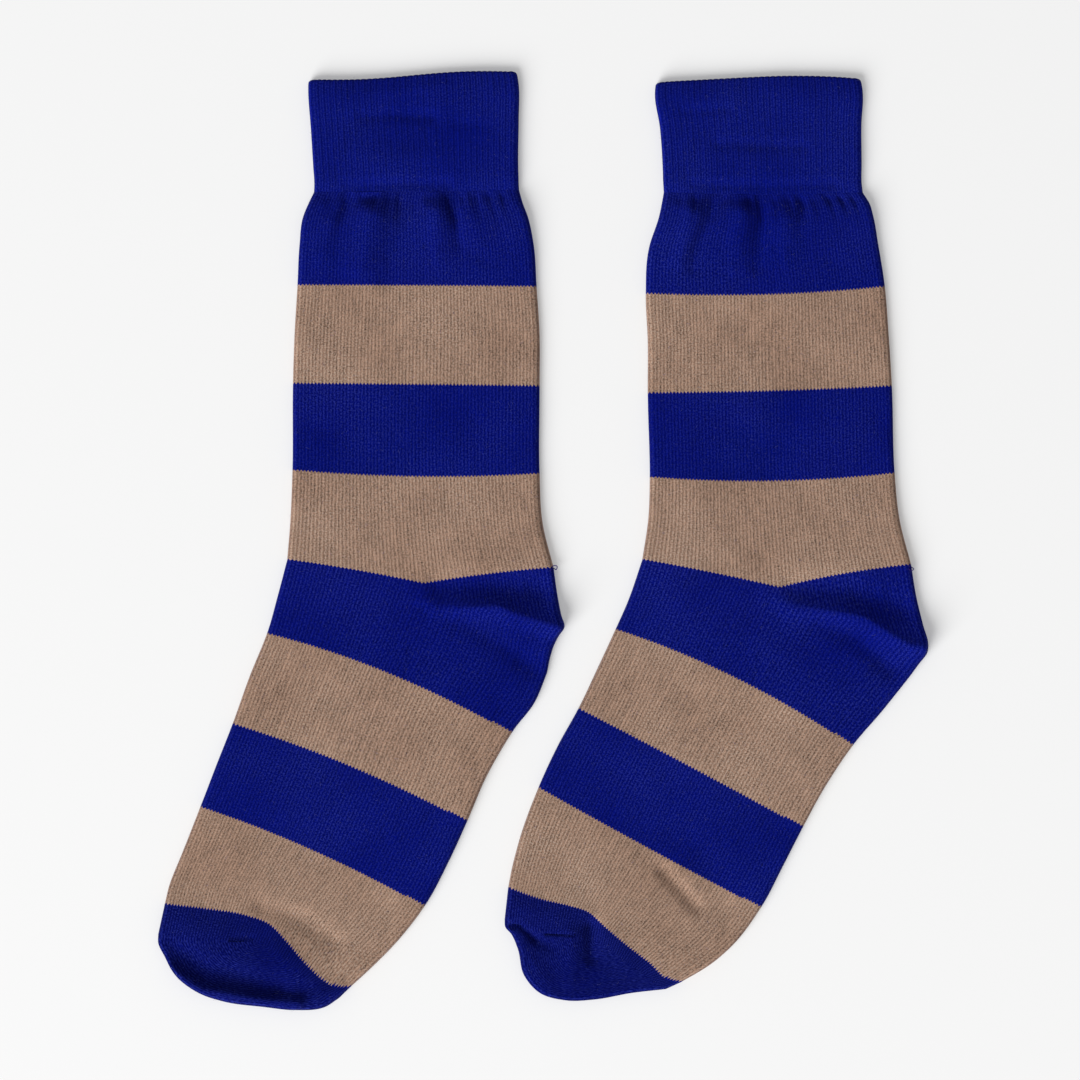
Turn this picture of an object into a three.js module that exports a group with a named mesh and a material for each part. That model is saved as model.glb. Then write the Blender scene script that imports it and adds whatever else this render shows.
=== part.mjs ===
// A pair of striped, machine-knit crew socks, laid side by side on their sides, in millimetres.
// +X runs across the pair, +Y towards the cuffs, +Z up from the surface that they lie on.
// Each sock is a flattened tube: a top layer, a fold at the front, a fold at the back, and an
// underside that rests flat. It is made of five pieces: cuff, leg, heel pocket, foot and toe cap.
import * as THREE from 'three';

// Cloth and seams
const CLOTH = 1.5;
const SEAM_GAP = 0.3;
const LEAST_HEIGHT = 0.9;
const LEAST_HOLLOW = 0.3;

// Cuff ribs on the upper face
const RIBS = 36;
const RIB_RISE = 0.4;

// Half the width of a gather below the cuff
const GATHER_WIDTH = 1.5;

// Points round a section
const LEG_TOP_POINTS = 46;
const FOOT_TOP_POINTS = 24;
const UNDER_POINTS = 9;
const INNER_POINTS = 9;
const FOLD_POINTS = 2;
const HEEL_OUTER_POINTS = 12;
const HEEL_INNER_POINTS = 8;
const WIDTH_SAMPLES = 8;

// How far from the front of the ankle line the heel pocket starts, as a share of its width
const HEEL_START = 0.05;

const BLUE_RIB = new THREE.MeshStandardMaterial({ color: 0x0b146c, roughness: 0.9, metalness: 0 });
const BLUE_KNIT = new THREE.MeshStandardMaterial({ color: 0x101768, roughness: 0.92, metalness: 0 });
const STRIPED_KNIT = new THREE.MeshStandardMaterial({ color: 0x947968, roughness: 0.95, metalness: 0 });

// A row is one course of the knitting, from the front fold over its middle to the back fold.
// height is the height of the folded tube there. bow is the sag of the front and back halves
// towards the toe; a row without one is a single smooth curve through its three points.
// steps is the number of sections from this row to the next.
const LEFT = {
  name: 'left',
  cuff: [
    { front: [-93.4, 184.3], mid: [-52.0, 186.2], back: [-11.0, 187.6], height: 3.8, steps: 1 },
    { front: [-94.4, 181.0], mid: [-52.0, 183.0], back: [-9.6, 184.4], height: 4.0, steps: 2 },
    { front: [-92.4, 160.0], mid: [-51.2, 161.0], back: [-10.0, 162.4], height: 4.0, steps: 2 },
    { front: [-91.4, 139.0], mid: [-50.4, 139.0], back: [-9.2, 139.8], height: 3.8 },
  ],
  leg: [
    { front: [-92.4, 139.0], mid: [-50.6, 139.0], back: [-8.4, 139.8], height: 3.9, steps: 2 },
    { front: [-95.6, 129.6], mid: [-50.8, 129.2], back: [-6.0, 129.8], height: 4.3, steps: 2 },
    { front: [-97.2, 117.6], mid: [-50.4, 117.2], back: [-3.6, 117.6], height: 4.1, steps: 1 },
    { front: [-98.0, 101.8], mid: [-50.4, 101.6], back: [-2.8, 101.2], height: 3.9, steps: 1 },
    { front: [-99.2, 81.6], mid: [-50.4, 81.6], back: [-1.6, 81.6], height: 3.9, steps: 1 },
    { front: [-99.8, 62.6], mid: [-50.7, 62.2], back: [-1.6, 61.6], height: 3.9, steps: 2 },
    { front: [-100.0, 28.0], mid: [-50.8, 25.4], back: [-1.6, 26.6], height: 4.0, steps: 1 },
    { front: [-100.8, 8.4], mid: [-49.6, 3.0], back: [-0.4, 6.8], height: 4.3, steps: 1 },
    { front: [-101.6, -8.0], mid: [-47.6, -17.6], back: [4.0, -11.2], height: 4.6, bow: [-0.6, -0.6] },
  ],
  heel: [
    { back: [4.0, -11.2], height: 4.6, bow: -0.6 },
    { back: [5.6, -22.4], height: 4.8, bow: 0 },
    { back: [7.2, -30.4], height: 5.0, bow: 0.8 },
    { back: [8.4, -34.6], height: 5.0, bow: 1.2 },
    { back: [6.0, -38.4], height: 5.0, bow: 1.0 },
    { back: [4.0, -42.4], height: 4.8, bow: 0.6 },
    { back: [1.2, -52.8], height: 4.6, bow: 0 },
  ],
  foot: [
    { front: [-101.6, -8.0], mid: [-47.6, -17.6], back: [1.2, -52.8], height: 4.6, bow: [-0.6, 0], steps: 2 },
    { front: [-105.2, -22.4], mid: [-54.4, -35.2], back: [-4.4, -65.2], height: 4.5, steps: 1 },
    { front: [-109.6, -37.2], mid: [-62.0, -52.8], back: [-13.0, -76.8], height: 4.4, steps: 1 },
    { front: [-117.2, -54.8], mid: [-69.6, -71.4], back: [-22.8, -94.4], height: 4.3, steps: 1 },
    { front: [-123.8, -73.2], mid: [-76.8, -90.0], back: [-30.4, -112.0], height: 4.2, steps: 1 },
    { front: [-130.4, -90.0], mid: [-84.4, -106.8], back: [-38.2, -129.0], height: 4.2, steps: 1 },
    { front: [-137.0, -106.4], mid: [-92.0, -123.6], back: [-47.4, -146.0], height: 4.2, steps: 1 },
    { front: [-144.4, -126.0], mid: [-101.2, -138.0], back: [-60.6, -162.4], height: 4.4, steps: 1 },
    { front: [-148.8, -136.8], mid: [-105.6, -145.2], back: [-69.0, -170.6], height: 4.6, steps: 1 },
    { front: [-151.2, -145.6], mid: [-110.0, -152.4], back: [-78.8, -178.6], height: 4.8, bow: [-1.4, 2.4] },
  ],
  toe: [
    { front: [-151.2, -145.6], mid: [-110.0, -152.4], back: [-78.8, -178.6], height: 4.8, bow: [-1.4, 2.4], steps: 1 },
    { front: [-153.4, -155.2], mid: [-115.2, -162.0], back: [-81.4, -181.8], height: 5.0, steps: 1 },
    { front: [-152.8, -164.0], mid: [-118.0, -170.0], back: [-85.0, -185.0], height: 4.8, steps: 1 },
    { front: [-149.6, -172.0], mid: [-118.8, -176.8], back: [-90.0, -187.2], height: 4.2, steps: 1 },
    { front: [-142.8, -179.2], mid: [-118.0, -182.6], back: [-96.0, -188.2], height: 3.0, steps: 1 },
    { front: [-134.0, -183.8], mid: [-116.4, -186.4], back: [-102.0, -188.4], height: 0.9 },
  ],
  // Gathers where the wider leg is drawn into the cuff. across runs from the front fold to the back.
  gathers: [
    { across: 0.08, depth: 0.30, reach: 9, lean: 0 },
    { across: 0.16, depth: 0.35, reach: 14, lean: -1.5 },
    { across: 0.24, depth: 0.45, reach: 16, lean: -2 },
    { across: 0.31, depth: 0.40, reach: 11, lean: 0 },
    { across: 0.37, depth: 0.30, reach: 18, lean: -3 },
    { across: 0.43, depth: 0.45, reach: 13, lean: 0 },
    { across: 0.53, depth: 0.40, reach: 12, lean: 1 },
    { across: 0.60, depth: 0.30, reach: 9, lean: 0 },
    { across: 0.67, depth: 0.45, reach: 24, lean: 1 },
    { across: 0.76, depth: 0.30, reach: 12, lean: 0 },
    { across: 0.85, depth: 0.35, reach: 14, lean: 1 },
    { across: 0.93, depth: 0.30, reach: 10, lean: 0 },
  ],
  // Soft folds of the upper layer. rise is how high the ridge stands; below zero it is a trough.
  folds: [
    { from: [-42, -27.5], to: [-18, -25.0], rise: 0.9, spread: 5 },
    { from: [-18, -25.0], to: [8, -33.6], rise: 1.2, spread: 4.5 },
    { from: [-38, -20.5], to: [2, -22.0], rise: -0.7, spread: 5 },
    { from: [-135, -174.0], to: [-108, -180.0], rise: -0.8, spread: 5 },
    { from: [-97, -184.5], to: [-83, -179.0], rise: 0.5, spread: 4 },
    { from: [-60, 134.0], to: [-65, 115.0], rise: 0.5, spread: 4 },
  ],
};

const RIGHT = {
  name: 'right',
  cuff: [
    { front: [45.6, 182.8], mid: [86.0, 185.8], back: [127.0, 184.2], height: 3.8, steps: 1 },
    { front: [44.8, 179.8], mid: [86.0, 182.4], back: [128.0, 181.0], height: 4.0, steps: 2 },
    { front: [46.8, 160.8], mid: [87.2, 161.4], back: [127.4, 161.6], height: 4.0, steps: 2 },
    { front: [48.4, 138.8], mid: [88.0, 137.8], back: [127.8, 138.8], height: 3.8 },
  ],
  leg: [
    { front: [47.8, 138.8], mid: [88.0, 137.8], back: [128.6, 138.8], height: 3.9, steps: 2 },
    { front: [46.6, 129.6], mid: [89.2, 128.8], back: [132.0, 129.6], height: 4.3, steps: 2 },
    { front: [42.4, 116.8], mid: [88.8, 116.4], back: [134.0, 118.4], height: 4.1, steps: 1 },
    { front: [41.0, 98.4], mid: [90.0, 98.0], back: [136.8, 101.2], height: 3.9, steps: 1 },
    { front: [42.0, 79.2], mid: [90.0, 79.2], back: [138.0, 80.8], height: 3.9, steps: 1 },
    { front: [42.0, 58.8], mid: [90.4, 59.6], back: [139.2, 61.6], height: 3.9, steps: 2 },
    { front: [42.4, 25.2], mid: [91.2, 23.6], back: [141.0, 26.8], height: 4.0, steps: 1 },
    { front: [42.0, 8.4], mid: [92.8, 1.8], back: [143.0, 8.0], height: 4.3, steps: 1 },
    { front: [39.8, -8.0], mid: [94.4, -19.2], back: [147.2, -10.0], height: 4.6, bow: [-0.4, -1.0] },
  ],
  heel: [
    { back: [147.2, -10.0], height: 4.6, bow: -1.0 },
    { back: [149.2, -22.4], height: 4.8, bow: 0 },
    { back: [152.0, -34.0], height: 5.0, bow: 0.6 },
    { back: [153.8, -42.2], height: 5.0, bow: 1.0 },
    { back: [151.4, -47.4], height: 5.0, bow: 1.0 },
    { back: [149.0, -51.0], height: 4.8, bow: 0.6 },
    { back: [146.4, -54.4], height: 4.6, bow: 0 },
  ],
  foot: [
    { front: [39.8, -8.0], mid: [94.4, -19.2], back: [146.4, -54.4], height: 4.6, bow: [-0.4, 0], steps: 2 },
    { front: [34.6, -23.2], mid: [85.8, -37.2], back: [135.2, -68.4], height: 4.5, steps: 1 },
    { front: [29.2, -35.6], mid: [77.2, -55.0], back: [123.4, -82.0], height: 4.4, steps: 1 },
    { front: [22.0, -51.2], mid: [68.0, -72.6], back: [112.4, -98.4], height: 4.3, steps: 1 },
    { front: [14.4, -67.2], mid: [58.8, -90.2], back: [103.6, -114.4], height: 4.2, steps: 1 },
    { front: [6.0, -82.4], mid: [50.8, -106.6], back: [95.6, -130.4], height: 4.2, steps: 1 },
    { front: [-1.4, -98.8], mid: [42.8, -123.2], back: [87.6, -146.6], height: 4.2, steps: 1 },
    { front: [-8.8, -118.8], mid: [33.2, -138.8], back: [75.2, -163.0], height: 4.4, steps: 1 },
    { front: [-11.2, -130.4], mid: [27.6, -146.4], back: [66.0, -170.6], height: 4.6, steps: 1 },
    { front: [-13.2, -139.2], mid: [22.8, -153.6], back: [54.6, -177.4], height: 4.8, bow: [-1.6, 0.4] },
  ],
  toe: [
    { front: [-13.2, -139.2], mid: [22.8, -153.6], back: [54.6, -177.4], height: 4.8, bow: [-1.6, 0.4], steps: 1 },
    { front: [-15.4, -151.0], mid: [19.6, -162.0], back: [48.0, -179.8], height: 5.0, steps: 1 },
    { front: [-12.4, -159.2], mid: [16.8, -168.8], back: [41.2, -181.4], height: 4.8, steps: 1 },
    { front: [-9.6, -167.2], mid: [14.8, -174.8], back: [34.0, -182.6], height: 4.2, steps: 1 },
    { front: [-6.0, -175.4], mid: [13.6, -179.8], back: [27.2, -183.6], height: 3.0, steps: 1 },
    { front: [0.8, -181.8], mid: [10.8, -183.4], back: [20.0, -184.0], height: 0.9 },
  ],
  gathers: [
    { across: 0.07, depth: 0.30, reach: 9, lean: 0 },
    { across: 0.15, depth: 0.35, reach: 12, lean: -1 },
    { across: 0.24, depth: 0.35, reach: 14, lean: -2 },
    { across: 0.32, depth: 0.45, reach: 12, lean: -1 },
    { across: 0.40, depth: 0.30, reach: 10, lean: 0 },
    { across: 0.47, depth: 0.45, reach: 22, lean: -2 },
    { across: 0.56, depth: 0.30, reach: 10, lean: 0 },
    { across: 0.63, depth: 0.40, reach: 13, lean: 0 },
    { across: 0.72, depth: 0.30, reach: 10, lean: 1 },
    { across: 0.79, depth: 0.35, reach: 12, lean: 0 },
    { across: 0.86, depth: 0.45, reach: 14, lean: 1 },
    { across: 0.93, depth: 0.35, reach: 11, lean: 0 },
  ],
  folds: [
    { from: [106, -25.0], to: [122, -29.5], rise: 0.9, spread: 5 },
    { from: [122, -29.5], to: [152, -41.0], rise: 1.2, spread: 4.5 },
    { from: [100, -21.5], to: [146, -29.0], rise: -0.7, spread: 5 },
    { from: [-13, -152.5], to: [7, -161.0], rise: -0.7, spread: 4 },
    { from: [22, -157.0], to: [22, -168.0], rise: -0.7, spread: 4.5 },
    { from: [63, -124.0], to: [72, -146.0], rise: -0.5, spread: 7 },
    { from: [69, 133.0], to: [62, 111.0], rise: 0.5, spread: 4 },
  ],
};

const mix = (a, b, t) => a + (b - a) * t;
const mixPoint = (a, b, t) => [mix(a[0], b[0], t), mix(a[1], b[1], t)];
const spread = (count) => Array.from({ length: count + 1 }, (_, i) => i / count);

// A point of the line from a to b, sagging by bow to its right
function bowed(a, b, bow, t) {
  const [x, y] = mixPoint(a, b, t);
  const across = [b[0] - a[0], b[1] - a[1]];
  const sag = (bow * 4 * t * (1 - t)) / Math.hypot(...across);
  return [x + across[1] * sag, y - across[0] * sag];
}

// The bows that make one parabola of a row's two halves
function smoothBow(row) {
  const across = [row.back[0] - row.front[0], row.back[1] - row.front[1]];
  const middle = mixPoint(row.front, row.back, 0.5);
  const off = [row.mid[0] - middle[0], row.mid[1] - middle[1]];
  const sag = (off[0] * across[1] - off[1] * across[0]) / Math.hypot(...across);
  return [sag / 4, sag / 4];
}

// The place of a row at u, from 0 at the front fold to 1 at the back fold
function onRow(row, u) {
  const bow = row.bow ?? smoothBow(row);
  return u < 0.5
    ? bowed(row.front, row.mid, bow[0], 2 * u)
    : bowed(row.mid, row.back, bow[1], 2 * u - 1);
}

// A smooth curve through values at uneven knots
function through(knots, values, k, t) {
  const slope = (i) => (values[i + 1] - values[i]) / (knots[i + 1] - knots[i]);
  const tangent = (i) => {
    if (i === 0) return slope(0);
    if (i === knots.length - 1) return slope(i - 1);
    const before = knots[i] - knots[i - 1];
    const after = knots[i + 1] - knots[i];
    return (slope(i) * before + slope(i - 1) * after) / (before + after);
  };
  const width = knots[k + 1] - knots[k];
  const t2 = t * t;
  const t3 = t2 * t;
  return values[k] * (2 * t3 - 3 * t2 + 1) + values[k + 1] * (3 * t2 - 2 * t3)
    + width * (tangent(k) * (t3 - 2 * t2 + t) + tangent(k + 1) * (t3 - t2));
}

// The course lines between rows: place(k, t, u) lies between rows k and k + 1
function courses(rows) {
  const knots = [0];
  for (let k = 1; k < rows.length; k += 1) {
    const [a, b] = [rows[k - 1].mid, rows[k].mid];
    knots.push(knots[k - 1] + Math.hypot(b[0] - a[0], b[1] - a[1]));
  }
  const place = (k, t, u) => [0, 1].map((axis) => (
    through(knots, rows.map((row) => onRow(row, u)[axis]), k, t)));
  const height = (k, t) => Math.max(LEAST_HEIGHT, through(knots, rows.map((row) => row.height), k, t));
  const width = (k, t) => {
    const line = spread(WIDTH_SAMPLES).map((u) => place(k, t, u));
    return line.slice(1).reduce((sum, p, i) => sum + Math.hypot(p[0] - line[i][0], p[1] - line[i][1]), 0);
  };
  return { knots, place, height, width };
}

// How far the folds lift the upper layer at a point
function foldRise(folds, [x, y]) {
  return folds.reduce((sum, { from, to, rise, spread: reach }) => {
    const along = [to[0] - from[0], to[1] - from[1]];
    const long = along[0] ** 2 + along[1] ** 2;
    const t = THREE.MathUtils.clamp(((x - from[0]) * along[0] + (y - from[1]) * along[1]) / long, 0, 1);
    const off = Math.hypot(x - from[0] - along[0] * t, y - from[1] - along[1] * t);
    return sum + rise * Math.exp(-((off / reach) ** 2));
  }, 0);
}

// The stops round half a flattened section: u and lift, from the front fold (lift 0) over the
// layer (lift 1) to the back fold. edge is the reach of a fold's rounding as a share of the width.
function layerStops(count, edge, inset) {
  const turn = Array.from({ length: FOLD_POINTS }, (_, i) => (i / FOLD_POINTS) * (Math.PI / 2));
  const rounding = turn.map((angle) => ({ u: inset + edge * (1 - Math.cos(angle)), lift: Math.sin(angle) }));
  const flat = spread(count - 1).map((t) => ({ u: mix(inset + edge, 1 - inset - edge, t), lift: 1 }));
  const end = rounding.map(({ u, lift }) => ({ u: 1 - u, lift })).reverse();
  return [...rounding, ...flat, ...end];
}

// One ring of a tube: up over the top from the front fold to the back one, and back underneath
function ring(line, k, t, { top, under, inset, raise }) {
  const width = line.width(k, t);
  const half = line.height(k, t) / 2;
  const tall = Math.max(half - inset, LEAST_HOLLOW / 2);
  const overStops = layerStops(top, tall / width, inset / width);
  const underStops = layerStops(under, tall / width, inset / width).slice(1, -1).reverse();
  const points = [];
  const order = [];
  overStops.forEach(({ u, lift }, i) => {
    const [x, y] = line.place(k, t, u);
    const turn = lift < 1 ? 0 : i;
    points.push(new THREE.Vector3(x, y, half + lift * (tall + raise(k, t, u, [x, y], turn))));
    order.push(u / 2);
  });
  underStops.forEach(({ u, lift }) => {
    const [x, y] = line.place(k, t, u);
    points.push(new THREE.Vector3(x, y, half - lift * tall));
    order.push(1 - u / 2);
  });
  return { points, order, topCount: overStops.length };
}

// A closed body from indexed points
class Shell {
  points = [];
  faces = [];

  add(points) {
    const first = this.points.length;
    this.points.push(...points);
    return points.map((_, i) => first + i);
  }

  face(a, b, c, flip) {
    if (a === b || b === c || c === a) return;
    this.faces.push(flip ? [c, b, a] : [a, b, c]);
  }

  // The skin between two like chains of points
  strip(a, b, flip) {
    for (let i = 0; i < a.length - 1; i += 1) {
      this.face(a[i], b[i], b[i + 1], flip);
      this.face(a[i], b[i + 1], a[i + 1], flip);
    }
  }

  // The faces between two chains with their own stops
  stitch(a, aStops, b, bStops, flip) {
    let i = 0;
    let j = 0;
    while (i < a.length - 1 || j < b.length - 1) {
      const nextA = i < a.length - 1 ? aStops[i] + aStops[i + 1] : Infinity;
      const nextB = j < b.length - 1 ? bStops[j] + bStops[j + 1] : Infinity;
      if (nextA <= nextB) {
        this.face(a[i], a[i + 1], b[j], flip);
        i += 1;
      } else {
        this.face(b[j + 1], b[j], a[i], flip);
        j += 1;
      }
    }
  }

  mesh(name, material) {
    const geometry = new THREE.BufferGeometry();
    geometry.setAttribute('position', new THREE.Float32BufferAttribute(
      this.points.flatMap((p) => [p.x, p.y, p.z]), 3));
    geometry.setIndex(this.faces.flat());
    geometry.computeVertexNormals();
    const mesh = new THREE.Mesh(geometry, material);
    mesh.name = name;
    return mesh;
  }
}

const closed = (list) => [...list, list[0]];
const closedStops = (stops) => [...stops, 1];

// The stops along a piece: each row and its steps, drawn in by half a seam gap at sewn ends
function stations(rows, line, gapAtStart, gapAtEnd) {
  const last = rows.length - 2;
  const inset = (k, sewn) => (sewn ? SEAM_GAP / 2 / (line.knots[k + 1] - line.knots[k]) : 0);
  const list = [];
  rows.slice(0, -1).forEach(({ steps }, k) => {
    for (let i = 0; i < steps; i += 1) list.push({ k, t: i / steps });
  });
  list[0] = { k: 0, t: inset(0, gapAtStart) };
  list.push({ k: last, t: 1 - inset(last, gapAtEnd) });
  return list;
}

const plain = () => 0;

// A tube of cloth along its rows. Its inside follows the folds and takes none of the surface relief.
function tube(name, rows, { top, surface, folds, start, end, capped, material }) {
  const line = courses(rows);
  const rise = (k, t, u, at) => foldRise(folds, at);
  const outerRise = (k, t, u, at, i) => rise(k, t, u, at) + surface(k, t, u, line, i);
  const shell = new Shell();
  const outer = stations(rows, line, start, end).map(({ k, t }) => (
    ring(line, k, t, { top, under: UNDER_POINTS, inset: 0, raise: outerRise })));
  const innerStops = stations(rows, line, start, end)
    .filter((stop, i, all) => i === 0 || i === all.length - 1 || stop.t === 0)
    .slice(0, capped ? -2 : undefined);
  const inner = innerStops.map(({ k, t }) => (
    ring(line, k, t, { top: INNER_POINTS, under: INNER_POINTS, inset: CLOTH, raise: rise })));
  const outerIds = outer.map((r) => shell.add(r.points));
  const innerIds = inner.map((r) => shell.add(r.points));
  for (let i = 0; i < outer.length - 1; i += 1) shell.strip(closed(outerIds[i]), closed(outerIds[i + 1]));
  for (let i = 0; i < inner.length - 1; i += 1) {
    shell.strip(closed(innerIds[i]), closed(innerIds[i + 1]), true);
  }
  const rim = (o, n, flip) => shell.stitch(
    closed(outerIds.at(o)), closedStops(outer.at(o).order),
    closed(innerIds.at(n)), closedStops(inner.at(n).order), flip);
  const cap = (ids, r, flip) => {
    const over = ids.slice(0, r.topCount);
    const beneath = [ids[0], ...ids.slice(r.topCount).reverse(), ids[r.topCount - 1]];
    const beneathStops = [0, ...r.order.slice(r.topCount).reverse().map((s) => 1 - s), 0.5];
    shell.stitch(over, r.order.slice(0, r.topCount), beneath, beneathStops, flip);
  };
  rim(0, 0, false);
  if (capped) {
    cap(outerIds.at(-1), outer.at(-1), true);
    cap(innerIds.at(-1), inner.at(-1), false);
  } else {
    rim(-1, -1, true);
  }
  return shell.mesh(name, material);
}

// The upper ribs of the cuff: every second point round the top stands up
const ribs = (k, t, u, line, i) => (i % 2 === 1 ? RIB_RISE : 0);

// Gathers: short troughs that run down from the cuff and fade out
function gathered(gathers) {
  return (k, t, u, line) => {
    const down = mix(line.knots[k], line.knots[k + 1], t);
    const width = line.width(k, t);
    return gathers.reduce((sum, { across, depth, reach, lean }) => {
      const off = (u - across) * width - (lean * down) / reach;
      return sum - depth * Math.exp(-((off / GATHER_WIDTH) ** 2)) * Math.exp(-((down / reach) ** 2));
    }, 0);
  };
}

// The heel pocket: a fan of half sections from the ankle line round the heel's corner to the sole.
// Each is a top layer, the back fold and the layer beneath, open towards the front.
function heelPocket(name, sock) {
  const apex = sock.leg.at(-1).mid;
  const corner = sock.heel[Math.floor(sock.heel.length / 2)].back;
  const away = [corner[0] - apex[0], corner[1] - apex[1]];
  const clear = SEAM_GAP / Math.hypot(...away);
  const shell = new Shell();
  const chain = (row, inset, count) => {
    const width = Math.hypot(row.back[0] - apex[0], row.back[1] - apex[1]);
    const half = row.height / 2;
    const tall = half - inset;
    const stops = layerStops(count, tall / width, inset / width);
    const over = stops.filter(({ u, lift }) => lift === 1 || u > 0.5);
    const reach = over[0].u;
    const at = ({ u, lift }, side) => {
      const t = mix(HEEL_START, 1, (u - reach) / (1 - reach));
      const [x, y] = bowed(apex, row.back, row.bow, t);
      const place = [x + away[0] * clear, y + away[1] * clear];
      const z = half + side * lift * tall + (side > 0 ? lift * foldRise(sock.folds, place) : 0);
      return new THREE.Vector3(...place, z);
    };
    const upper = over.map((stop) => at(stop, 1));
    const lower = over.slice(0, -1).reverse().map((stop) => at(stop, -1));
    return [...upper, ...lower];
  };
  const outer = sock.heel.map((row) => shell.add(chain(row, 0, HEEL_OUTER_POINTS)));
  const inner = sock.heel.map((row) => shell.add(chain(row, CLOTH, HEEL_INNER_POINTS)));
  for (let i = 0; i < outer.length - 1; i += 1) {
    shell.strip(outer[i], outer[i + 1]);
    shell.strip(inner[i], inner[i + 1], true);
  }
  const stops = (ids) => spread(ids.length - 1);
  shell.stitch(outer[0], stops(outer[0]), inner[0], stops(inner[0]), false);
  shell.stitch(outer.at(-1), stops(outer.at(-1)), inner.at(-1), stops(inner.at(-1)), true);
  const ends = [0, -1].map((side) => [outer.map((ids) => ids.at(side)), inner.map((ids) => ids.at(side))]);
  shell.strip(ends[0][0], ends[0][1]);
  shell.strip(ends[1][1], ends[1][0]);
  return shell.mesh(name, BLUE_KNIT);
}

function makeSock(sock) {
  const named = (piece) => `${sock.name}_${piece}`;
  const { folds } = sock;
  const group = new THREE.Group();
  group.add(tube(named('cuff'), sock.cuff, {
    top: 2 * RIBS + 1, surface: ribs, folds: [], start: false, end: true, material: BLUE_RIB,
  }));
  group.add(tube(named('leg'), sock.leg, {
    top: LEG_TOP_POINTS, surface: gathered(sock.gathers), folds, start: true, end: true, material: STRIPED_KNIT,
  }));
  group.add(heelPocket(named('heel'), sock));
  group.add(tube(named('foot'), sock.foot, {
    top: FOOT_TOP_POINTS, surface: plain, folds, start: true, end: true, material: STRIPED_KNIT,
  }));
  group.add(tube(named('toe'), sock.toe, {
    top: FOOT_TOP_POINTS, surface: plain, folds, start: true, end: false, capped: true, material: BLUE_KNIT,
  }));
  return group;
}

const group = new THREE.Group();
group.add(makeSock(LEFT), makeSock(RIGHT));

// The origin is the middle of the pair's footprint, on the surface
const box = new THREE.Box3().setFromObject(group);
const middle = box.getCenter(new THREE.Vector3());
group.position.set(-middle.x, -middle.y, -box.min.z);
group.updateMatrixWorld(true);

export default group;
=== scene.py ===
"""A pair of striped crew socks, laid side by side on their sides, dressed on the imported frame."""
import math
from collections import namedtuple

import bmesh
import bpy
import numpy as np
from bpy.props import FloatProperty, FloatVectorProperty, PointerProperty
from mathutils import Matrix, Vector


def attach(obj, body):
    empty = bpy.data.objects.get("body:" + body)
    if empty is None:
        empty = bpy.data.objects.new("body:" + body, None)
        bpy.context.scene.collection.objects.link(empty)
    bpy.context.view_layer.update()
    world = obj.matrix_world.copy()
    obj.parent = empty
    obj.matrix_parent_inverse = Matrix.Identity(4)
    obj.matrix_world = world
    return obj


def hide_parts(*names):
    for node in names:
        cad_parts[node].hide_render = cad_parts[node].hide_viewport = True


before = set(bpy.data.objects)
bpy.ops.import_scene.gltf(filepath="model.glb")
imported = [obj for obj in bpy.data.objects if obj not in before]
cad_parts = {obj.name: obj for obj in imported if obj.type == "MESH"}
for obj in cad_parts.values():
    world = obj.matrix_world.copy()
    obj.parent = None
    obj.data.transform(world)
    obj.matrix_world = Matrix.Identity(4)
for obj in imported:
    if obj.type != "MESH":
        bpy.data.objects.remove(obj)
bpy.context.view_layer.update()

bl_info = {
    "name": "Pair of Striped Socks",
    "version": (1, 0, 0),
    "blender": (4, 5, 0),
    "location": "3D View > Sidebar > Socks",
    "description": "Knits a pair of striped crew socks on their packed solids",
    "category": "Add Mesh",
}

MM = 0.001

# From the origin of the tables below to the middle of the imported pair, in millimetres
FRAME_SHIFT = np.array((-0.34, 0.40))

# One course line of the knitting, in millimetres: its front fold, its middle and its back fold, the
# height of the folded tube there, the number of the course, and the sag of its front and back
# halves towards the toe. A row without a sag is one smooth curve through its three points, or
# through the points of line as well: those before its middle and those after it.
Row = namedtuple("Row", "front mid back height course bow line", defaults=(None, None))

# A point of the outline of a turned pocket: its place, the height there, and the sag of its ray
Turn = namedtuple("Turn", "place height bow", defaults=(0.0,))

# A soft fold of the upper layer: the line that it follows, how high it stands at its two ends
# (below zero it is a trough), and how far it spreads. A fold with a crisp crest has its own
# spread to the left of its line.
Fold = namedtuple("Fold", "line start end spread left", defaults=(None,))

# A gather where the wide leg is drawn into the narrow cuff: its place from the front fold (0) to
# the back fold (1), its depth, how far it runs down the leg, and its lean towards the back
Gather = namedtuple("Gather", "across depth reach lean")

# Where the toe line runs between its folds and its middle
LEFT_TOE_LINE = (
    ((-134.0, -147.4), (-118.8, -149.9)),
    ((-102.8, -160.0), (-94.8, -169.2), (-87.6, -175.8), (-82.6, -178.6)),
)
RIGHT_TOE_LINE = (
    ((-1.2, -143.4), (10.8, -146.2), (18.0, -148.6)),
    ((35.2, -163.4), (42.0, -168.6), (50.4, -175.8)),
)

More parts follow.
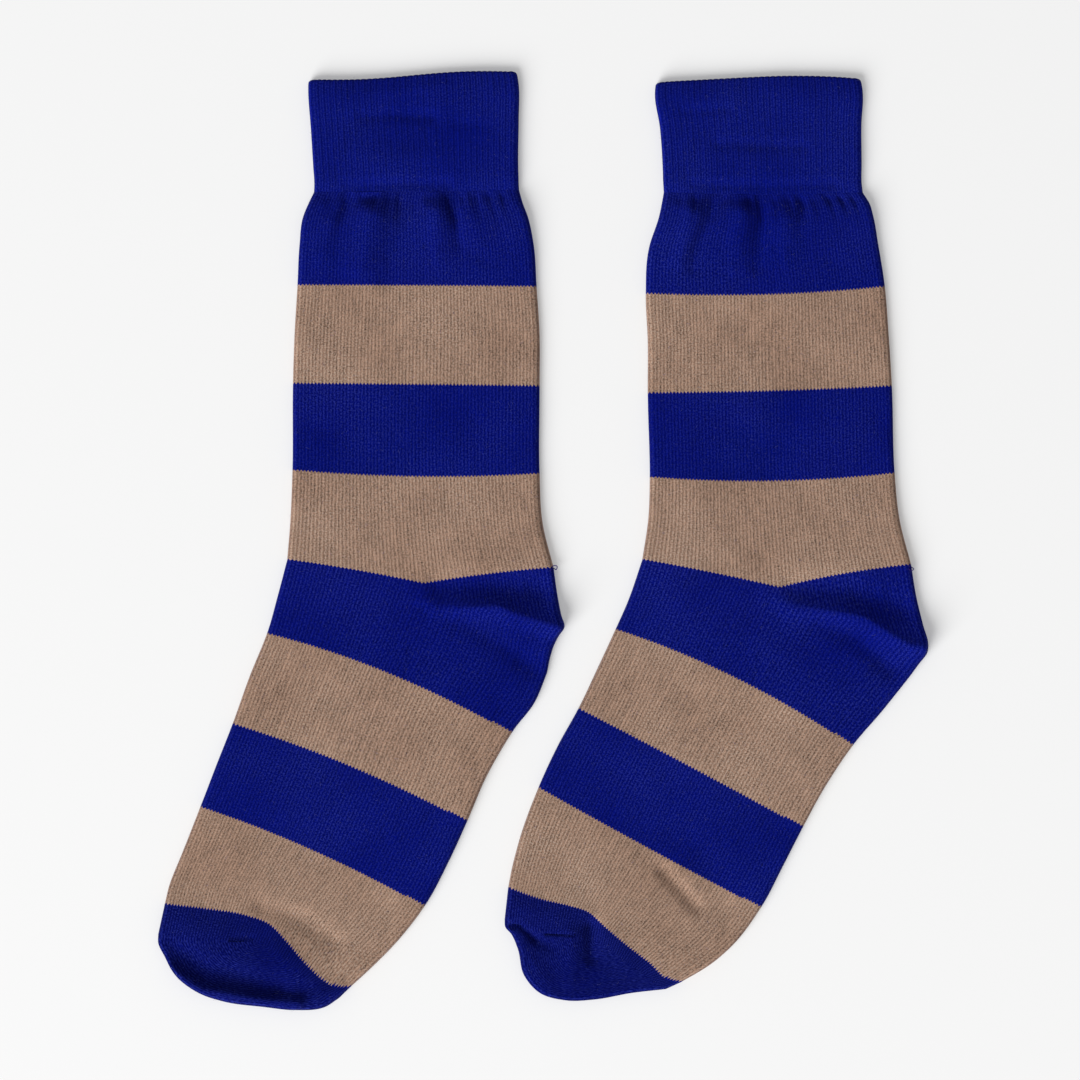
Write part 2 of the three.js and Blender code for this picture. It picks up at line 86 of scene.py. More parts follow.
LEFT = {
    "name": "left",
    "cuff": [
        Row((-93.6, 183.6), (-52.0, 185.4), (-10.8, 187.0), 3.6, 0),
        Row((-93.6, 179.4), (-52.0, 181.2), (-10.1, 182.8), 4.2, 4),
        Row((-92.6, 165.0), (-51.4, 166.2), (-10.0, 167.4), 4.2, 19),
        Row((-91.6, 149.0), (-50.6, 149.6), (-10.2, 150.2), 4.2, 35),
        Row((-91.2, 142.6), (-50.4, 142.8), (-10.0, 143.4), 4.0, 41),
        Row((-91.4, 139.0), (-50.4, 139.0), (-9.8, 139.8), 3.5, 45),
    ],
    "leg": [
        Row((-93.6, 134.4), (-50.8, 134.2), (-8.4, 134.8), 4.6, 5),
        Row((-95.6, 129.6), (-50.8, 129.2), (-6.5, 129.8), 4.9, 9),
        Row((-97.2, 117.6), (-50.4, 117.2), (-3.9, 117.6), 4.4, 21),
        Row((-98.0, 101.8), (-50.4, 101.6), (-2.8, 101.2), 4.0, 36),
        Row((-99.2, 81.6), (-50.4, 81.6), (-1.6, 81.6), 3.9, 55),
        Row((-99.8, 62.6), (-50.7, 62.2), (-1.6, 61.6), 3.9, 74),
        Row((-100.0, 28.0), (-50.8, 25.4), (-1.6, 26.6), 4.0, 108),
        Row((-100.8, 8.4), (-49.6, 3.0), (-0.4, 6.8), 4.3, 128),
        Row((-102.1, -8.0), (-47.6, -17.6), (4.0, -11.2), 4.6, 148, (-0.6, -0.6)),
    ],
    "heel": [
        Turn((4.0, -11.2), 4.6, -0.6),
        Turn((5.6, -22.4), 4.8, 0.0),
        Turn((7.2, -30.4), 5.0, 0.8),
        Turn((8.4, -34.6), 5.0, 1.2),
        Turn((6.0, -38.4), 5.0, 1.0),
        Turn((4.0, -42.4), 4.8, 0.6),
        Turn((2.6, -47.0), 4.6, 0.2),
        Turn((1.4, -53.0), 4.6, 0.0),
    ],
    "heel_corner": 3,
    "foot": [
        Row((-102.1, -8.0), (-47.6, -17.6), (1.4, -53.0), 4.6, 0, (-0.6, 0.0)),
        Row((-105.9, -22.4), (-54.4, -35.2), (-3.8, -65.2), 4.5, 15),
        Row((-110.1, -37.2), (-62.0, -52.8), (-12.6, -76.8), 4.4, 30),
        Row((-117.2, -54.8), (-69.6, -71.4), (-22.8, -94.4), 4.3, 49),
        Row((-123.8, -73.2), (-76.8, -90.0), (-30.4, -112.0), 4.2, 68),
        Row((-130.4, -90.0), (-84.4, -106.8), (-38.2, -129.0), 4.2, 85),
        Row((-136.7, -106.4), (-92.0, -123.6), (-47.4, -146.0), 4.2, 102),
        Row((-144.4, -126.0), (-101.2, -138.0), (-60.4, -162.4), 4.4, 122),
        Row((-148.8, -136.8), (-105.6, -145.2), (-68.6, -170.6), 4.6, 132),
        Row((-151.0, -145.4), (-109.4, -153.4), (-77.2, -178.6), 4.8, 140, None, LEFT_TOE_LINE),
    ],
    "toe": [
        Row((-153.6, -157.4), (-112.6, -160.4), (-81.8, -183.0), 5.0, 12, (0.0, 0.0)),
    ],
    "pocket": [
        Turn((-81.8, -183.0), 5.0),
        Turn((-87.1, -186.4), 5.0),
        Turn((-99.8, -187.6), 5.0),
        Turn((-111.8, -186.4), 5.0),
        Turn((-127.8, -184.2), 5.0),
        Turn((-137.0, -181.1), 5.0),
        Turn((-146.2, -174.4), 5.0),
        Turn((-151.4, -165.8), 5.0),
        Turn((-153.7, -160.7), 5.0),
        Turn((-153.6, -157.4), 5.0),
    ],
    "pocket_corner": 4,
    "gathers": [
        Gather(0.08, 0.6, 9, 0), Gather(0.17, 1.2, 10, -1.5), Gather(0.226, 2.0, 4.5, 0),
        Gather(0.259, 2.0, 4.5, 0), Gather(0.293, 2.4, 5, 0), Gather(0.37, 0.8, 9, 0),
        Gather(0.43, 1.5, 8, -1), Gather(0.50, 0.9, 7, 0), Gather(0.57, 0.6, 8, 0),
        Gather(0.676, 2.4, 12, 1), Gather(0.735, 0.6, 7, 0), Gather(0.80, 0.7, 9, 0),
        Gather(0.87, 0.7, 11, 1), Gather(0.94, 0.6, 8, 0),
    ],
    "folds": [
        Fold(((-42, -26), (-33, -27), (-17.8, -26.2), (-11.4, -29), (0.6, -32.8), (8, -35)),
             2.2, 4.3, 4.0, 5.8),
        Fold(((-42, -18.6), (-24, -18.0), (-2, -20.0)), -1.6, -2.0, 5.6),
        Fold(((-58, -28.0), (-36, -42.0), (-8, -52.0)), -0.3, -0.4, 9),
        Fold(((-40, -27.0), (-27, -35.0), (-11, -45.0), (-3, -51.0)), -0.7, -1.2, 4.6),
        Fold(((-146, -164.0), (-135, -171.6), (-122, -175.0), (-106, -178.6)), -1.8, -2.4, 4.6),
        Fold(((-149.0, -171.0), (-136, -179.0), (-112, -183.0), (-98, -184.0)), 2.2, 2.2, 2.6),
        Fold(((-112, -146), (-97, -151), (-84, -160)), -0.9, -1.2, 4.0),
        Fold(((-101, -186.5), (-82, -179.3)), 1.3, 1.0, 3.2),
        Fold(((-150, -152.0), (-128, -156.0)), 0.5, 0.4, 6),
        Fold(((-104, -164.0), (-92, -175.0)), 0.7, 0.8, 5),
        Fold(((-124, -158.4), (-116, -158.6)), -0.5, -0.5, 1.2),
        Fold(((-53, 136.0), (-55.5, 124.6), (-60, 112.5), (-62, 104.0)), -2.0, -0.9, 4.8),
        Fold(((-36.5, 137.0), (-34.7, 128.0), (-33.6, 115.0)), -2.0, -0.3, 2.8),
        Fold(((-33, 118.0), (-24, 112.0)), -0.3, -0.4, 3.2),
        Fold(((-77, 134.5), (-79.5, 125.8), (-84, 117.0)), -1.8, -0.5, 2.6),
        Fold(((-67.5, 129.5), (-73.0, 109.0)), 3.0, 1.6, 5.2),
        Fold(((-85.5, 127.0), (-89.0, 113.0)), 0.9, 0.5, 4.0),
        Fold(((-42.4, 131.0), (-42.0, 112.0)), 2.1, 0.5, 4.0),
        Fold(((-28, 127.0), (-24, 112.0)), 0.6, 0.2, 5),
        Fold(((-30, -66.0), (-60, -118.0)), 0.4, 0.3, 14),
        Fold(((-90, 70.0), (-88, 10.0)), 0.25, 0.3, 10),
        Fold(((-76, -128.0), (-60, -158.0)), -0.35, -0.3, 8),
    ],
    "cuff_folds": [
        Fold(((-72, 169.0), (-60, 169.8), (-44, 168.8)), -0.6, -0.9, 2.4),
        Fold(((-78, 141.6), (-62, 142.2), (-39, 142.4)), -0.6, -1.2, 2.2),
        Fold(((-66, 152.0), (-44, 153.0)), 0.4, 0.5, 5.0),
        Fold(((-70, 178.0), (-40, 181.0)), 0.3, 0.4, 3.0),
        Fold(((-34, 166.0), (-22, 165.0)), -0.4, -0.3, 2.2),
    ],
    "sway": -0.7,
    "links": [((-124.8, -160.0), (-122.0, -160.2), (-119.8, -160.0))],
    "thread_end": ((3.2, -10.8), (4.6, -10.2), (5.6, -10.6), (5.2, -11.8), (4.2, -11.4), (3.0, -12.0)),
}

RIGHT = {
    "name": "right",
    "cuff": [
        Row((45.2, 182.6), (86.0, 184.8), (126.6, 184.2), 3.6, 0),
        Row((44.9, 178.8), (86.0, 180.8), (127.3, 180.2), 4.2, 4),
        Row((46.9, 164.8), (86.8, 165.6), (126.9, 165.6), 4.2, 19),
        Row((48.0, 149.0), (87.6, 149.0), (127.0, 149.6), 4.2, 35),
        Row((48.2, 142.6), (87.8, 142.0), (127.0, 142.8), 4.0, 41),
        Row((48.4, 138.8), (88.0, 137.8), (127.6, 138.8), 3.5, 45),
    ],
    "leg": [
        Row((47.6, 134.4), (88.6, 133.6), (130.3, 134.4), 4.6, 5),
        Row((46.6, 129.6), (89.2, 128.8), (131.7, 129.6), 4.9, 9),
        Row((42.5, 116.8), (88.8, 116.4), (133.7, 118.4), 4.4, 21),
        Row((41.2, 98.4), (90.0, 98.0), (136.4, 101.2), 4.0, 36),
        Row((42.0, 79.2), (90.0, 79.2), (138.0, 80.8), 3.9, 55),
        Row((42.0, 58.8), (90.4, 59.6), (139.2, 61.6), 3.9, 74),
        Row((42.8, 25.2), (91.2, 23.6), (140.3, 26.8), 4.0, 108),
        Row((42.2, 8.4), (92.8, 1.8), (142.3, 8.0), 4.3, 128),
        Row((39.8, -8.0), (94.4, -19.2), (146.9, -10.0), 4.6, 148, (-0.4, -1.0)),
    ],
    "heel": [
        Turn((146.9, -10.0), 4.6, -1.0),
        Turn((148.9, -22.4), 4.8, 0.0),
        Turn((151.7, -34.0), 5.0, 0.6),
        Turn((153.6, -41.4), 5.0, 1.0),
        Turn((153.4, -44.4), 5.0, 1.0),
        Turn((149.6, -50.0), 4.8, 0.6),
        Turn((146.4, -54.4), 4.6, 0.0),
    ],
    "heel_corner": 3,
    "foot": [
        Row((39.8, -8.0), (94.4, -19.2), (146.4, -54.4), 4.6, 0, (-0.4, 0.0)),
        Row((34.6, -23.2), (85.8, -37.2), (135.2, -68.4), 4.5, 15),
        Row((29.2, -35.6), (77.2, -55.0), (123.6, -82.0), 4.4, 30),
        Row((22.0, -51.2), (68.0, -72.6), (112.6, -98.4), 4.3, 49),
        Row((14.4, -67.2), (58.8, -90.2), (103.8, -114.4), 4.2, 68),
        Row((6.0, -82.4), (50.8, -106.6), (95.6, -130.4), 4.2, 85),
        Row((-1.6, -98.8), (42.8, -123.2), (87.0, -146.6), 4.2, 102),
        Row((-9.0, -118.8), (33.2, -138.8), (74.4, -163.0), 4.4, 122),
        Row((-12.1, -130.4), (27.8, -146.6), (65.4, -170.4), 4.6, 132),
        Row((-13.8, -139.0), (23.0, -153.1), (54.9, -176.6), 4.8, 140, None, RIGHT_TOE_LINE),
    ],
    "toe": [
        Row((-15.2, -151.6), (21.8, -160.0), (48.9, -179.3), 5.0, 12, (0.0, 0.0)),
    ],
    "pocket": [
        Turn((48.9, -179.3), 5.0),
        Turn((35.0, -180.9), 5.0),
        Turn((21.0, -183.4), 4.8),
        Turn((9.0, -183.8), 4.8),
        Turn((-1.5, -180.7), 4.8),
        Turn((-7.5, -173.8), 4.8),
        Turn((-10.0, -163.2), 5.0),
        Turn((-12.6, -157.4), 5.0),
        Turn((-15.0, -154.6), 5.0),
        Turn((-15.2, -151.6), 5.0),
    ],
    "pocket_corner": 4,
    "gathers": [
        Gather(0.07, 0.6, 9, 0), Gather(0.15, 0.9, 12, -1), Gather(0.268, 2.1, 10, -3),
        Gather(0.345, 0.6, 8, -1), Gather(0.42, 1.7, 5, 0), Gather(0.492, 2.3, 10, -0.5),
        Gather(0.555, 0.6, 8, 0), Gather(0.62, 0.9, 6, 0), Gather(0.69, 1.0, 8, 0),
        Gather(0.76, 0.7, 8, 0), Gather(0.84, 0.8, 7, 0), Gather(0.895, 1.3, 6, 0.5),
        Gather(0.955, 0.8, 7, 0),
    ],
    "folds": [
        Fold(((100, -26), (117.8, -28.6), (128.2, -30.6), (139.8, -38.0), (147, -42), (153, -42.4)),
             1.8, 4.4, 4.2, 5.8),
        Fold(((100, -19.0), (122, -20.0), (142, -27.0)), -1.4, -2.0, 5.8),
        Fold(((86, -28.0), (112, -46.0), (134, -54.0)), -0.3, -0.4, 9),
        Fold(((110, -33.0), (122, -38.0), (131, -44.0), (139, -51.0)), -0.7, -1.6, 4.2),
        Fold(((-15, -153.4), (-9.4, -153.6), (-3, -159.4)), -1.5, -1.0, 1.3),
        Fold(((-4, -158.6), (3, -162.0)), -1.3, -0.9, 2.8),
        Fold(((1, -157.2), (12.4, -157.4)), -0.7, -0.7, 0.6),
        Fold(((19.4, -154.6), (19.4, -166.4)), -2.4, -1.8, 2.8),
        Fold(((28, -158.0), (34, -170.0)), 0.6, 0.4, 5),
        Fold(((11.5, -158.0), (11.0, -176.0)), 1.4, 0.8, 4.0),
        Fold(((-4, -168.0), (4, -180.0)), 0.6, 0.4, 3),
        Fold(((-10, -146.0), (8, -151.0)), 0.5, 0.4, 4),
        Fold(((48, -132.0), (61.4, -146.4)), -1.5, -1.2, 3.2),
        Fold(((62.6, -124.0), (72.6, -146.0)), -0.6, -0.4, 6),
        Fold(((70, 136.0), (65.5, 127.6), (61.4, 116.6), (60, 108.4)), -2.0, -0.9, 2.8),
        Fold(((88, 137.0), (86.7, 123.5), (85.3, 109.8)), -2.0, -0.8, 3.0),
        Fold(((104.0, 134.0), (102.0, 123.0)), -1.1, -0.4, 2.6),
        Fold(((79, 130.0), (76.5, 110.0)), 2.2, 0.9, 4.4),
        Fold(((97, 128.0), (96, 110.0)), 1.1, 0.5, 4.4),
        Fold(((59.5, 130.0), (54.5, 112.0)), 2.6, 1.2, 4.3),
        Fold(((96, -66.0), (66, -118.0)), 0.4, 0.3, 14),
        Fold(((56, 70.0), (58, 10.0)), 0.25, 0.3, 10),
    ],
    "cuff_folds": [
        Fold(((70, 158.0), (104, 157.0)), -0.6, -0.5, 2.2),
        Fold(((60, 142.0), (88, 141.4), (116, 142.0)), -0.7, -0.8, 2.0),
        Fold(((56, 171.0), (74, 172.0)), -0.5, -0.5, 2.0),
    ],
    "sway": -0.3,
    "links": [
        ((-14.6, -153.4), (-12.0, -153.5), (-9.0, -153.8)),
        ((0.8, -157.2), (6.0, -157.5), (12.4, -157.2)),
    ],
    "thread_end": ((145.6, -10.2), (147.0, -10.8), (147.9, -11.6), (147.0, -12.2), (145.8, -11.6)),
}

# Stitches round a sock, and how many of them turn each fold
NEEDLES = 144
NEEDLES_ON_A_FOLD = 4

# Ribs round a cuff, and how many of them turn each fold
RIBS = 72
RIBS_ON_A_FOLD = 2

# Where the ribs fade out above the cuff's join, in millimetres
RIB_FADE = 5.0

# How far a fold's rounding reaches across, and the least of it inside, in millimetres
FOLD_REACH = 2.3
LEAST_REACH = 0.5
LEAST_HOLLOW = 0.1

# How high a fold's edge lies, as a share of the tube's height
EDGE_SHARE = 0.28

# How far the knit stands out past the outline of its solid, in millimetres
NAP = 0.2

# How far a loose thread end lies over the knit, in millimetres
THREAD_LIFT = 0.2

# Courses of a heel or toe pocket, from its first line to its corner and on to its last
POCKET_COURSES = 20

# The foot's stripes step by a course at this wale, where each of its rounds begins
ROUND_START = 65.5

# Courses of the leg and of the foot at which the stripes change
LEG_CHANGES = (36.0, 74.0, 108.0, 147.55)
FOOT_CHANGES = (30.0, 68.0, 102.0, 139.55)

# Half the width of a gather, and how far below the join it opens, in millimetres
GATHER_WIDTH = 1.6
GATHER_START = 1.6

# The fine puckers between the gathers: how many go round, and the least and most of their depth,
# of how far they run down, and of half their width, in millimetres
PUCKERS = 34
PUCKER_DEPTH = (0.12, 0.55)
PUCKER_REACH = (2.0, 6.5)
PUCKER_WIDTH = (0.6, 1.1)

# How a fold falls away from its line: softly, or from a crisp crest
SOFT_FALL = 2.0
CRISP_FALL = 1.15

# Waves of the upper and of the lower layer: the longest, the shortest and their height
UPPER_WAVES = (46, 14, 0.10)
LOWER_WAVES = (30, 9, 0.16)

# The smooth part of a wale lies between this share of its width and its end
WALE_EDGE = 0.25

# Lines of a cuff's lip, how much of its cloth the lip loses, how squarely its corners are drawn
# in, and how far down the mouth sways, in millimetres
LIP_LINES = (0.0, 0.25, 0.6)
LIP_THINNING = 0.45
CORNER_SQUARENESS = 8
SWAY_REACH = 12

# Stations between two lines of the inner skin, of a body piece and of a cuff
INNER_STEP = 5
CUFF_INNER_STEP = 3

# Height at which a thread lies that starts beside the knit, in metres
THREAD_HEIGHT = 0.003

# The contrasts of the yarn, each a value of the colour settings. The crown light is a painted highlight
# along the top of each wale, and the groove shade is painted shade between the wales.
CONTRASTS = (
    "Stitch Contrast", "Streak Contrast", "Fibre Contrast", "Blotch Contrast", "Crown Light",
    "Groove Shade",
)


def carried_on(rows, more):
    """The rows of a piece whose first line is the last one of the piece before it."""
    return [rows[-1]._replace(course=0), *more]


def bowed(start, end, bow, t):
    """The points at t of the line from start to end, sagging by bow to its right."""
    start = np.array(start, float)
    along = np.array(end, float) - start
    side = np.array((along[1], -along[0])) / math.hypot(*along)
    return start + np.outer(t, along) + np.outer(4 * bow * t * (1 - t), side)


def bows(row):
    """The sags of a row's halves. Without its own, they make one parabola of it."""
    if row.bow is not None:
        return row.bow
    front, mid, back = (np.array(p, float) for p in (row.front, row.mid, row.back))
    across = back - front
    off = mid - (front + back) / 2
    sag = (off[0] * across[1] - off[1] * across[0]) / math.hypot(*across)
    return sag / 4, sag / 4


def on_row(row, side, t):
    """The points of a row at t, from its middle (0) to its front (side -1) or back (side 1) fold."""
    if row.line:
        before, after = row.line
        points = (row.front, *before, row.mid, *after, row.back)
        knots = steps_along(points)
        mid = knots[len(before) + 1]
        return through(knots, points, mid + np.where(side < 0, -mid, knots[-1] - mid) * t)
    front_bow, back_bow = bows(row)
    front = bowed(row.mid, row.front, -front_bow, t)
    back = bowed(row.mid, row.back, back_bow, t)
    return np.where(side[:, None] < 0, front, back)


def through(knots, values, at):
    """A smooth curve through values at uneven knots, for one distance or for many."""
    values = np.array(values, float)
    widths = np.diff(knots).reshape((-1,) + (1,) * (values.ndim - 1))
    slopes = np.diff(values, axis=0) / widths
    inner = (slopes[1:] * widths[:-1] + slopes[:-1] * widths[1:]) / (widths[:-1] + widths[1:])
    tangents = np.concatenate((slopes[:1], inner, slopes[-1:]))
    k = np.clip(np.searchsorted(knots, at, side="right") - 1, 0, len(knots) - 2)
    width = widths[k]
    t = (np.asarray(at) - np.asarray(knots)[k]).reshape(np.shape(width)) / width
    ease = 3 * t * t - 2 * t ** 3
    return (
        values[k] * (1 - ease) + values[k + 1] * ease
        + width * (tangents[k] * (t ** 3 - 2 * t * t + t) + tangents[k + 1] * (t ** 3 - t * t))
    )


def steps_along(points):
    """The distance along a line at each of its points."""
    points = np.array(points, float)
    return np.concatenate(([0.0], np.cumsum(np.hypot(*np.diff(points, axis=0).T))))


class Columns:
    """The columns of a section, from the front fold over the top to the back fold and underneath
    to the front again. wale counts them; side is -1 in the front half and 1 in the back half;
    reach is the share of the flat part from the middle; out and lift turn round a fold."""

    def __init__(self, around, on_a_fold, top_step, under_step):
        half = around / 2
        inset = on_a_fold / 2
        flat = half - on_a_fold
        top = np.arange(round(flat / top_step) + 1) * top_step
        turn = np.arange(1, round(on_a_fold / top_step)) * top_step
        under = np.arange(round(flat / under_step) + 1) * under_step
        angle = np.pi / 2 - np.pi * turn / on_a_fold
        parts = [
            (inset + top, 2 * top / flat - 1, 0 * top, 1 + 0 * top),
            (half - inset + turn, 1 + 0 * turn, np.cos(angle), np.sin(angle)),
            (half + inset + under, 1 - 2 * under / flat, 0 * under, -1 + 0 * under),
            (around - inset + turn, -1 + 0 * turn, np.cos(angle), -np.sin(angle)),
        ]
        self.wale, across, self.out, self.lift = (np.concatenate(c) for c in zip(*parts))
        self.side = np.where(across < 0, -1, 1)
        self.reach = np.abs(across)
        self.count = len(self.wale)
        self.around = around
        self.last_flat = len(top) - 1
        self.back = np.arange((len(top) - 1) // 2, len(top) + len(turn) + (len(under) - 1) // 2 + 1)
        self.mirror = (len(top) - 1 - self.back) % self.count

    def shares(self, length, reach, inset):
        """How far from the middle each column lies, as a share of a half that is length long."""
        turn = reach / length
        return self.reach * (1 - inset / length - turn) + turn * self.out


def relief(folds, points):
    """How far the soft folds lift the cloth at the points."""
    total = np.zeros(len(points))
    for fold in folds:
        line = np.array(fold.line, float)
        along = steps_along(line) / steps_along(line)[-1]
        nearest = np.full(len(points), np.inf)
        rise = np.zeros(len(points))
        spread = np.full(len(points), float(fold.spread))
        power = np.full(len(points), SOFT_FALL)
        for a, b, from_share, to_share in zip(line[:-1], line[1:], along[:-1], along[1:]):
            t = np.clip((points - a) @ (b - a) / ((b - a) @ (b - a)), 0, 1)
            off = np.hypot(*(points - a - np.outer(t, b - a)).T)
            share = from_share + (to_share - from_share) * t
            closer = off < nearest
            rise = np.where(closer, fold.start + (fold.end - fold.start) * share, rise)
            turned = (b - a)[0] * (points - a)[:, 1] - (b - a)[1] * (points - a)[:, 0]
            if fold.left is not None:
                spread = np.where(closer, np.where(turned > 0, fold.left, fold.spread), spread)
                power = np.where(closer, np.where(turned > 0, CRISP_FALL, SOFT_FALL), power)
            nearest = np.minimum(nearest, off)
        total += rise * np.exp(-((nearest / spread) ** power))
    return total


def ripple(points, seed, longest, shortest, height):
    """Soft uneven waves of the cloth, from seeded directions and lengths."""
    random = np.random.default_rng(seed)
    total = np.zeros(len(points))
    waves = 9
    for _ in range(waves):
        angle, phase = random.uniform(0, 2 * np.pi, 2)
        reach = random.uniform(shortest, longest)
        way = np.array((np.cos(angle), np.sin(angle)))
        total += np.sin(2 * np.pi * (points @ way) / reach + phase)
    return height * total / math.sqrt(waves)


class Skin:
    """Vertices and faces of one piece, with the knit's wale and course at each face corner."""

    def __init__(self):
        self.points = []
        self.count = 0
        self.outer = []
        self.faces = []
        self.knit = []
        self.smooth = []

    def add(self, points, outer):
        """Adds points in millimetres and returns their numbers."""
        first = self.count
        self.points.append(points)
        self.outer.append(np.full(len(points), float(outer)))
        self.count += len(points)
        return np.arange(first, self.count)

    def quads(self, corners, knit, smooth=True):
        """Adds faces from four rows of numbers and of knit places. Doubled corners are dropped."""
        corners = np.stack([c.ravel() for c in corners], axis=1)
        knit = np.stack([k.reshape(-1, 2) for k in knit], axis=1)
        kept = corners != np.roll(corners, 1, axis=1)
        for sides in (4, 3):
            chosen = kept.sum(axis=1) == sides
            if not chosen.any():
                continue
            self.faces += corners[chosen][kept[chosen]].reshape(-1, sides).tolist()
            self.knit.append(knit[chosen][kept[chosen]].reshape(-1, 2))
            self.smooth.append(np.full(chosen.sum(), smooth))

    def sheet(self, ids, knit, inward):
        """The faces of a grid of stations and columns. An inward grid faces the other way."""
        corners = (ids[:-1, :-1], ids[1:, :-1], ids[1:, 1:], ids[:-1, 1:])
        places = (knit[:-1, :-1], knit[1:, :-1], knit[1:, 1:], knit[:-1, 1:])
        if inward:
            corners, places = corners[::-1], places[::-1]
        self.quads(corners, places)

    def rim(self, outer, inner, knit, at_end):
        """The cut edge between the outer and the inner skin."""
        corners = (outer[:-1], outer[1:], inner[1:], inner[:-1])
        places = (knit[:-1], knit[1:], knit[1:], knit[:-1])
        if at_end:
            corners, places = corners[::-1], places[::-1]
        self.quads(corners, places, smooth=False)

    def mesh(self, name, material):
        """The finished mesh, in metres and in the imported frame."""
        points = np.concatenate(self.points)
        points[:, :2] += FRAME_SHIFT
        mesh = bpy.data.meshes.new(name)
        mesh.from_pydata((points * MM).tolist(), [], self.faces)
        mesh.polygons.foreach_set("use_smooth", np.concatenate(self.smooth))
        layer = mesh.uv_layers.new(name="knit")
        layer.data.foreach_set("uv", np.concatenate(self.knit).astype(np.float32).ravel())
        outer = mesh.attributes.new("outer", "FLOAT", "POINT")
        outer.data.foreach_set("value", np.concatenate(self.outer).astype(np.float32))
        mesh.materials.append(material)
        mesh.update()
        # The cut edges stay sharp, so the skin shades evenly up to the next piece
        edge_of = np.zeros(len(mesh.loops), int)
        mesh.loops.foreach_get("edge_index", edge_of)
        flat = np.repeat(~np.concatenate(self.smooth), [len(face) for face in self.faces])
        sharp = np.zeros(len(mesh.edges), bool)
        sharp[edge_of[flat]] = True
        mesh.attributes.new("sharp_edge", "BOOLEAN", "EDGE").data.foreach_set("value", sharp)
        return mesh


def wrap(grid):
    """A grid of stations and columns with its first column again at the end."""
    return np.concatenate((grid, grid[:, :1]), axis=1)


def knit_of(columns, courses, wales=None):
    """The knit's wale and course for each station and column of a closed section."""
    wales = np.append(columns.wale, columns.wale[0] + columns.around) if wales is None else wales
    courses = np.asarray(courses, float)
    if courses.ndim == 1:
        courses = np.repeat(courses[:, None], len(wales), axis=1)
    return np.stack((np.broadcast_to(wales, courses.shape), courses), axis=2)


class Tube:
    """A tube of knitting along the rows of a table."""

    def __init__(self, rows, columns):
        self.rows = rows
        self.columns = columns
        self.knots = steps_along([row.mid for row in rows])
        self.stations = [(0.0, float(rows[0].course))]
        for k in range(len(rows) - 1):
            courses = rows[k + 1].course - rows[k].course
            for i in range(1, courses + 1):
                at = self.knots[k] + (self.knots[k + 1] - self.knots[k]) * i / courses
                self.stations.append((at, rows[k].course + float(i)))

    def line(self, at, side, t):
        """The points of the course line at a distance down the middle of the tube."""
        return through(self.knots, [on_row(row, side, t) for row in self.rows], at)

    def height(self, at):
        """The height of the folded tube there."""
        return through(self.knots, [row.height for row in self.rows], at)

    def section(self, at, cloth):
        """Plan points and heights of the section there; cloth is above zero for the inner skin."""
        columns = self.columns
        ends = self.line(at, np.array((-1, 1)), np.array((1.0, 1.0)))
        middle = self.line(at, np.array((1,)), np.array((0.0,)))[0]
        lengths = np.hypot(*(ends - middle).T)
        length = np.where(columns.side < 0, lengths[0], lengths[1])
        inset = cloth - NAP
        reach = max(FOLD_REACH - cloth, LEAST_REACH)
        t = columns.shares(length, reach, inset)
        half = self.height(at) / 2
        plan = self.line(at, columns.side, t)
        return plan, np.full(columns.count, half)


def fan_section(apex, apex_height, turn, columns, cloth):
    """Plan points and heights of the back half of a section, along one ray of a turned pocket."""
    back = columns.back
    length = math.hypot(turn.place[0] - apex[0], turn.place[1] - apex[1])
    reach = max(FOLD_REACH - cloth, LEAST_REACH)
    t = columns.shares(length, reach, cloth - NAP)[back]
    plan = bowed(apex, turn.place, turn.bow, t)
    ease = np.clip(t, 0, 1)
    ease = ease * ease * (3 - 2 * ease)
    return plan, (apex_height + (turn.height - apex_height) * ease) / 2


def turns_between(turns, spacing):
    """The rays of a pocket at even spacing along its outline, with how far along each one lies."""
    knots = steps_along([turn.place for turn in turns])
    places = [np.array(turn.place, float) for turn in turns]
    heights = [turn.height for turn in turns]
    sags = [turn.bow for turn in turns]
    rays = []
    ats = []
    for k in range(len(turns) - 1):
        count = max(1, round((knots[k + 1] - knots[k]) / spacing))
        for i in range(count):
            ats.append(knots[k] + (knots[k + 1] - knots[k]) * i / count)
    ats.append(knots[-1])
    for at in ats:
        place = through(knots, places, at)
        rays.append(Turn(tuple(place), through(knots, heights, at), through(knots, sags, at)))
    return rays, ats, knots


def surface(plan, half, columns, cloth, sizes, shapes, down=None, rise_of_wale=0.0, base=0.0):
    """The points of a skin. shapes holds the folds, the gathers and a seed; down is the distance
    from the cuff, for the gathers; base is how high the underside lies."""
    lift = columns["lift"]
    above = np.maximum(lift, 0)
    below = np.maximum(-lift, 0)
    rise = relief(shapes["folds"], plan) + ripple(plan, shapes["seed"], *UPPER_WAVES)
    if down is not None:
        rise = rise + gathered(shapes["gathers"], columns, down, shapes["seed"])
    # The upper layer can't sink further than the hollow below it
    room = np.maximum(2 * (half - sizes.cloth / MM) - base - LEAST_HOLLOW, 0)
    rise = np.maximum(rise, -room)
    low = base + cloth
    high = np.maximum(2 * half - cloth, low + LEAST_HOLLOW)
    edge = low + EDGE_SHARE * (high - low)
    under = np.abs(ripple(plan, shapes["seed"] + 50, *LOWER_WAVES))
    z = edge + (high + rise - edge) * above - (edge - low - under) * below
    ridge = np.where(np.mod(columns["wale"], 1) > WALE_EDGE, rise_of_wale, 0.0)
    return np.column_stack((plan, z + ridge * lift))


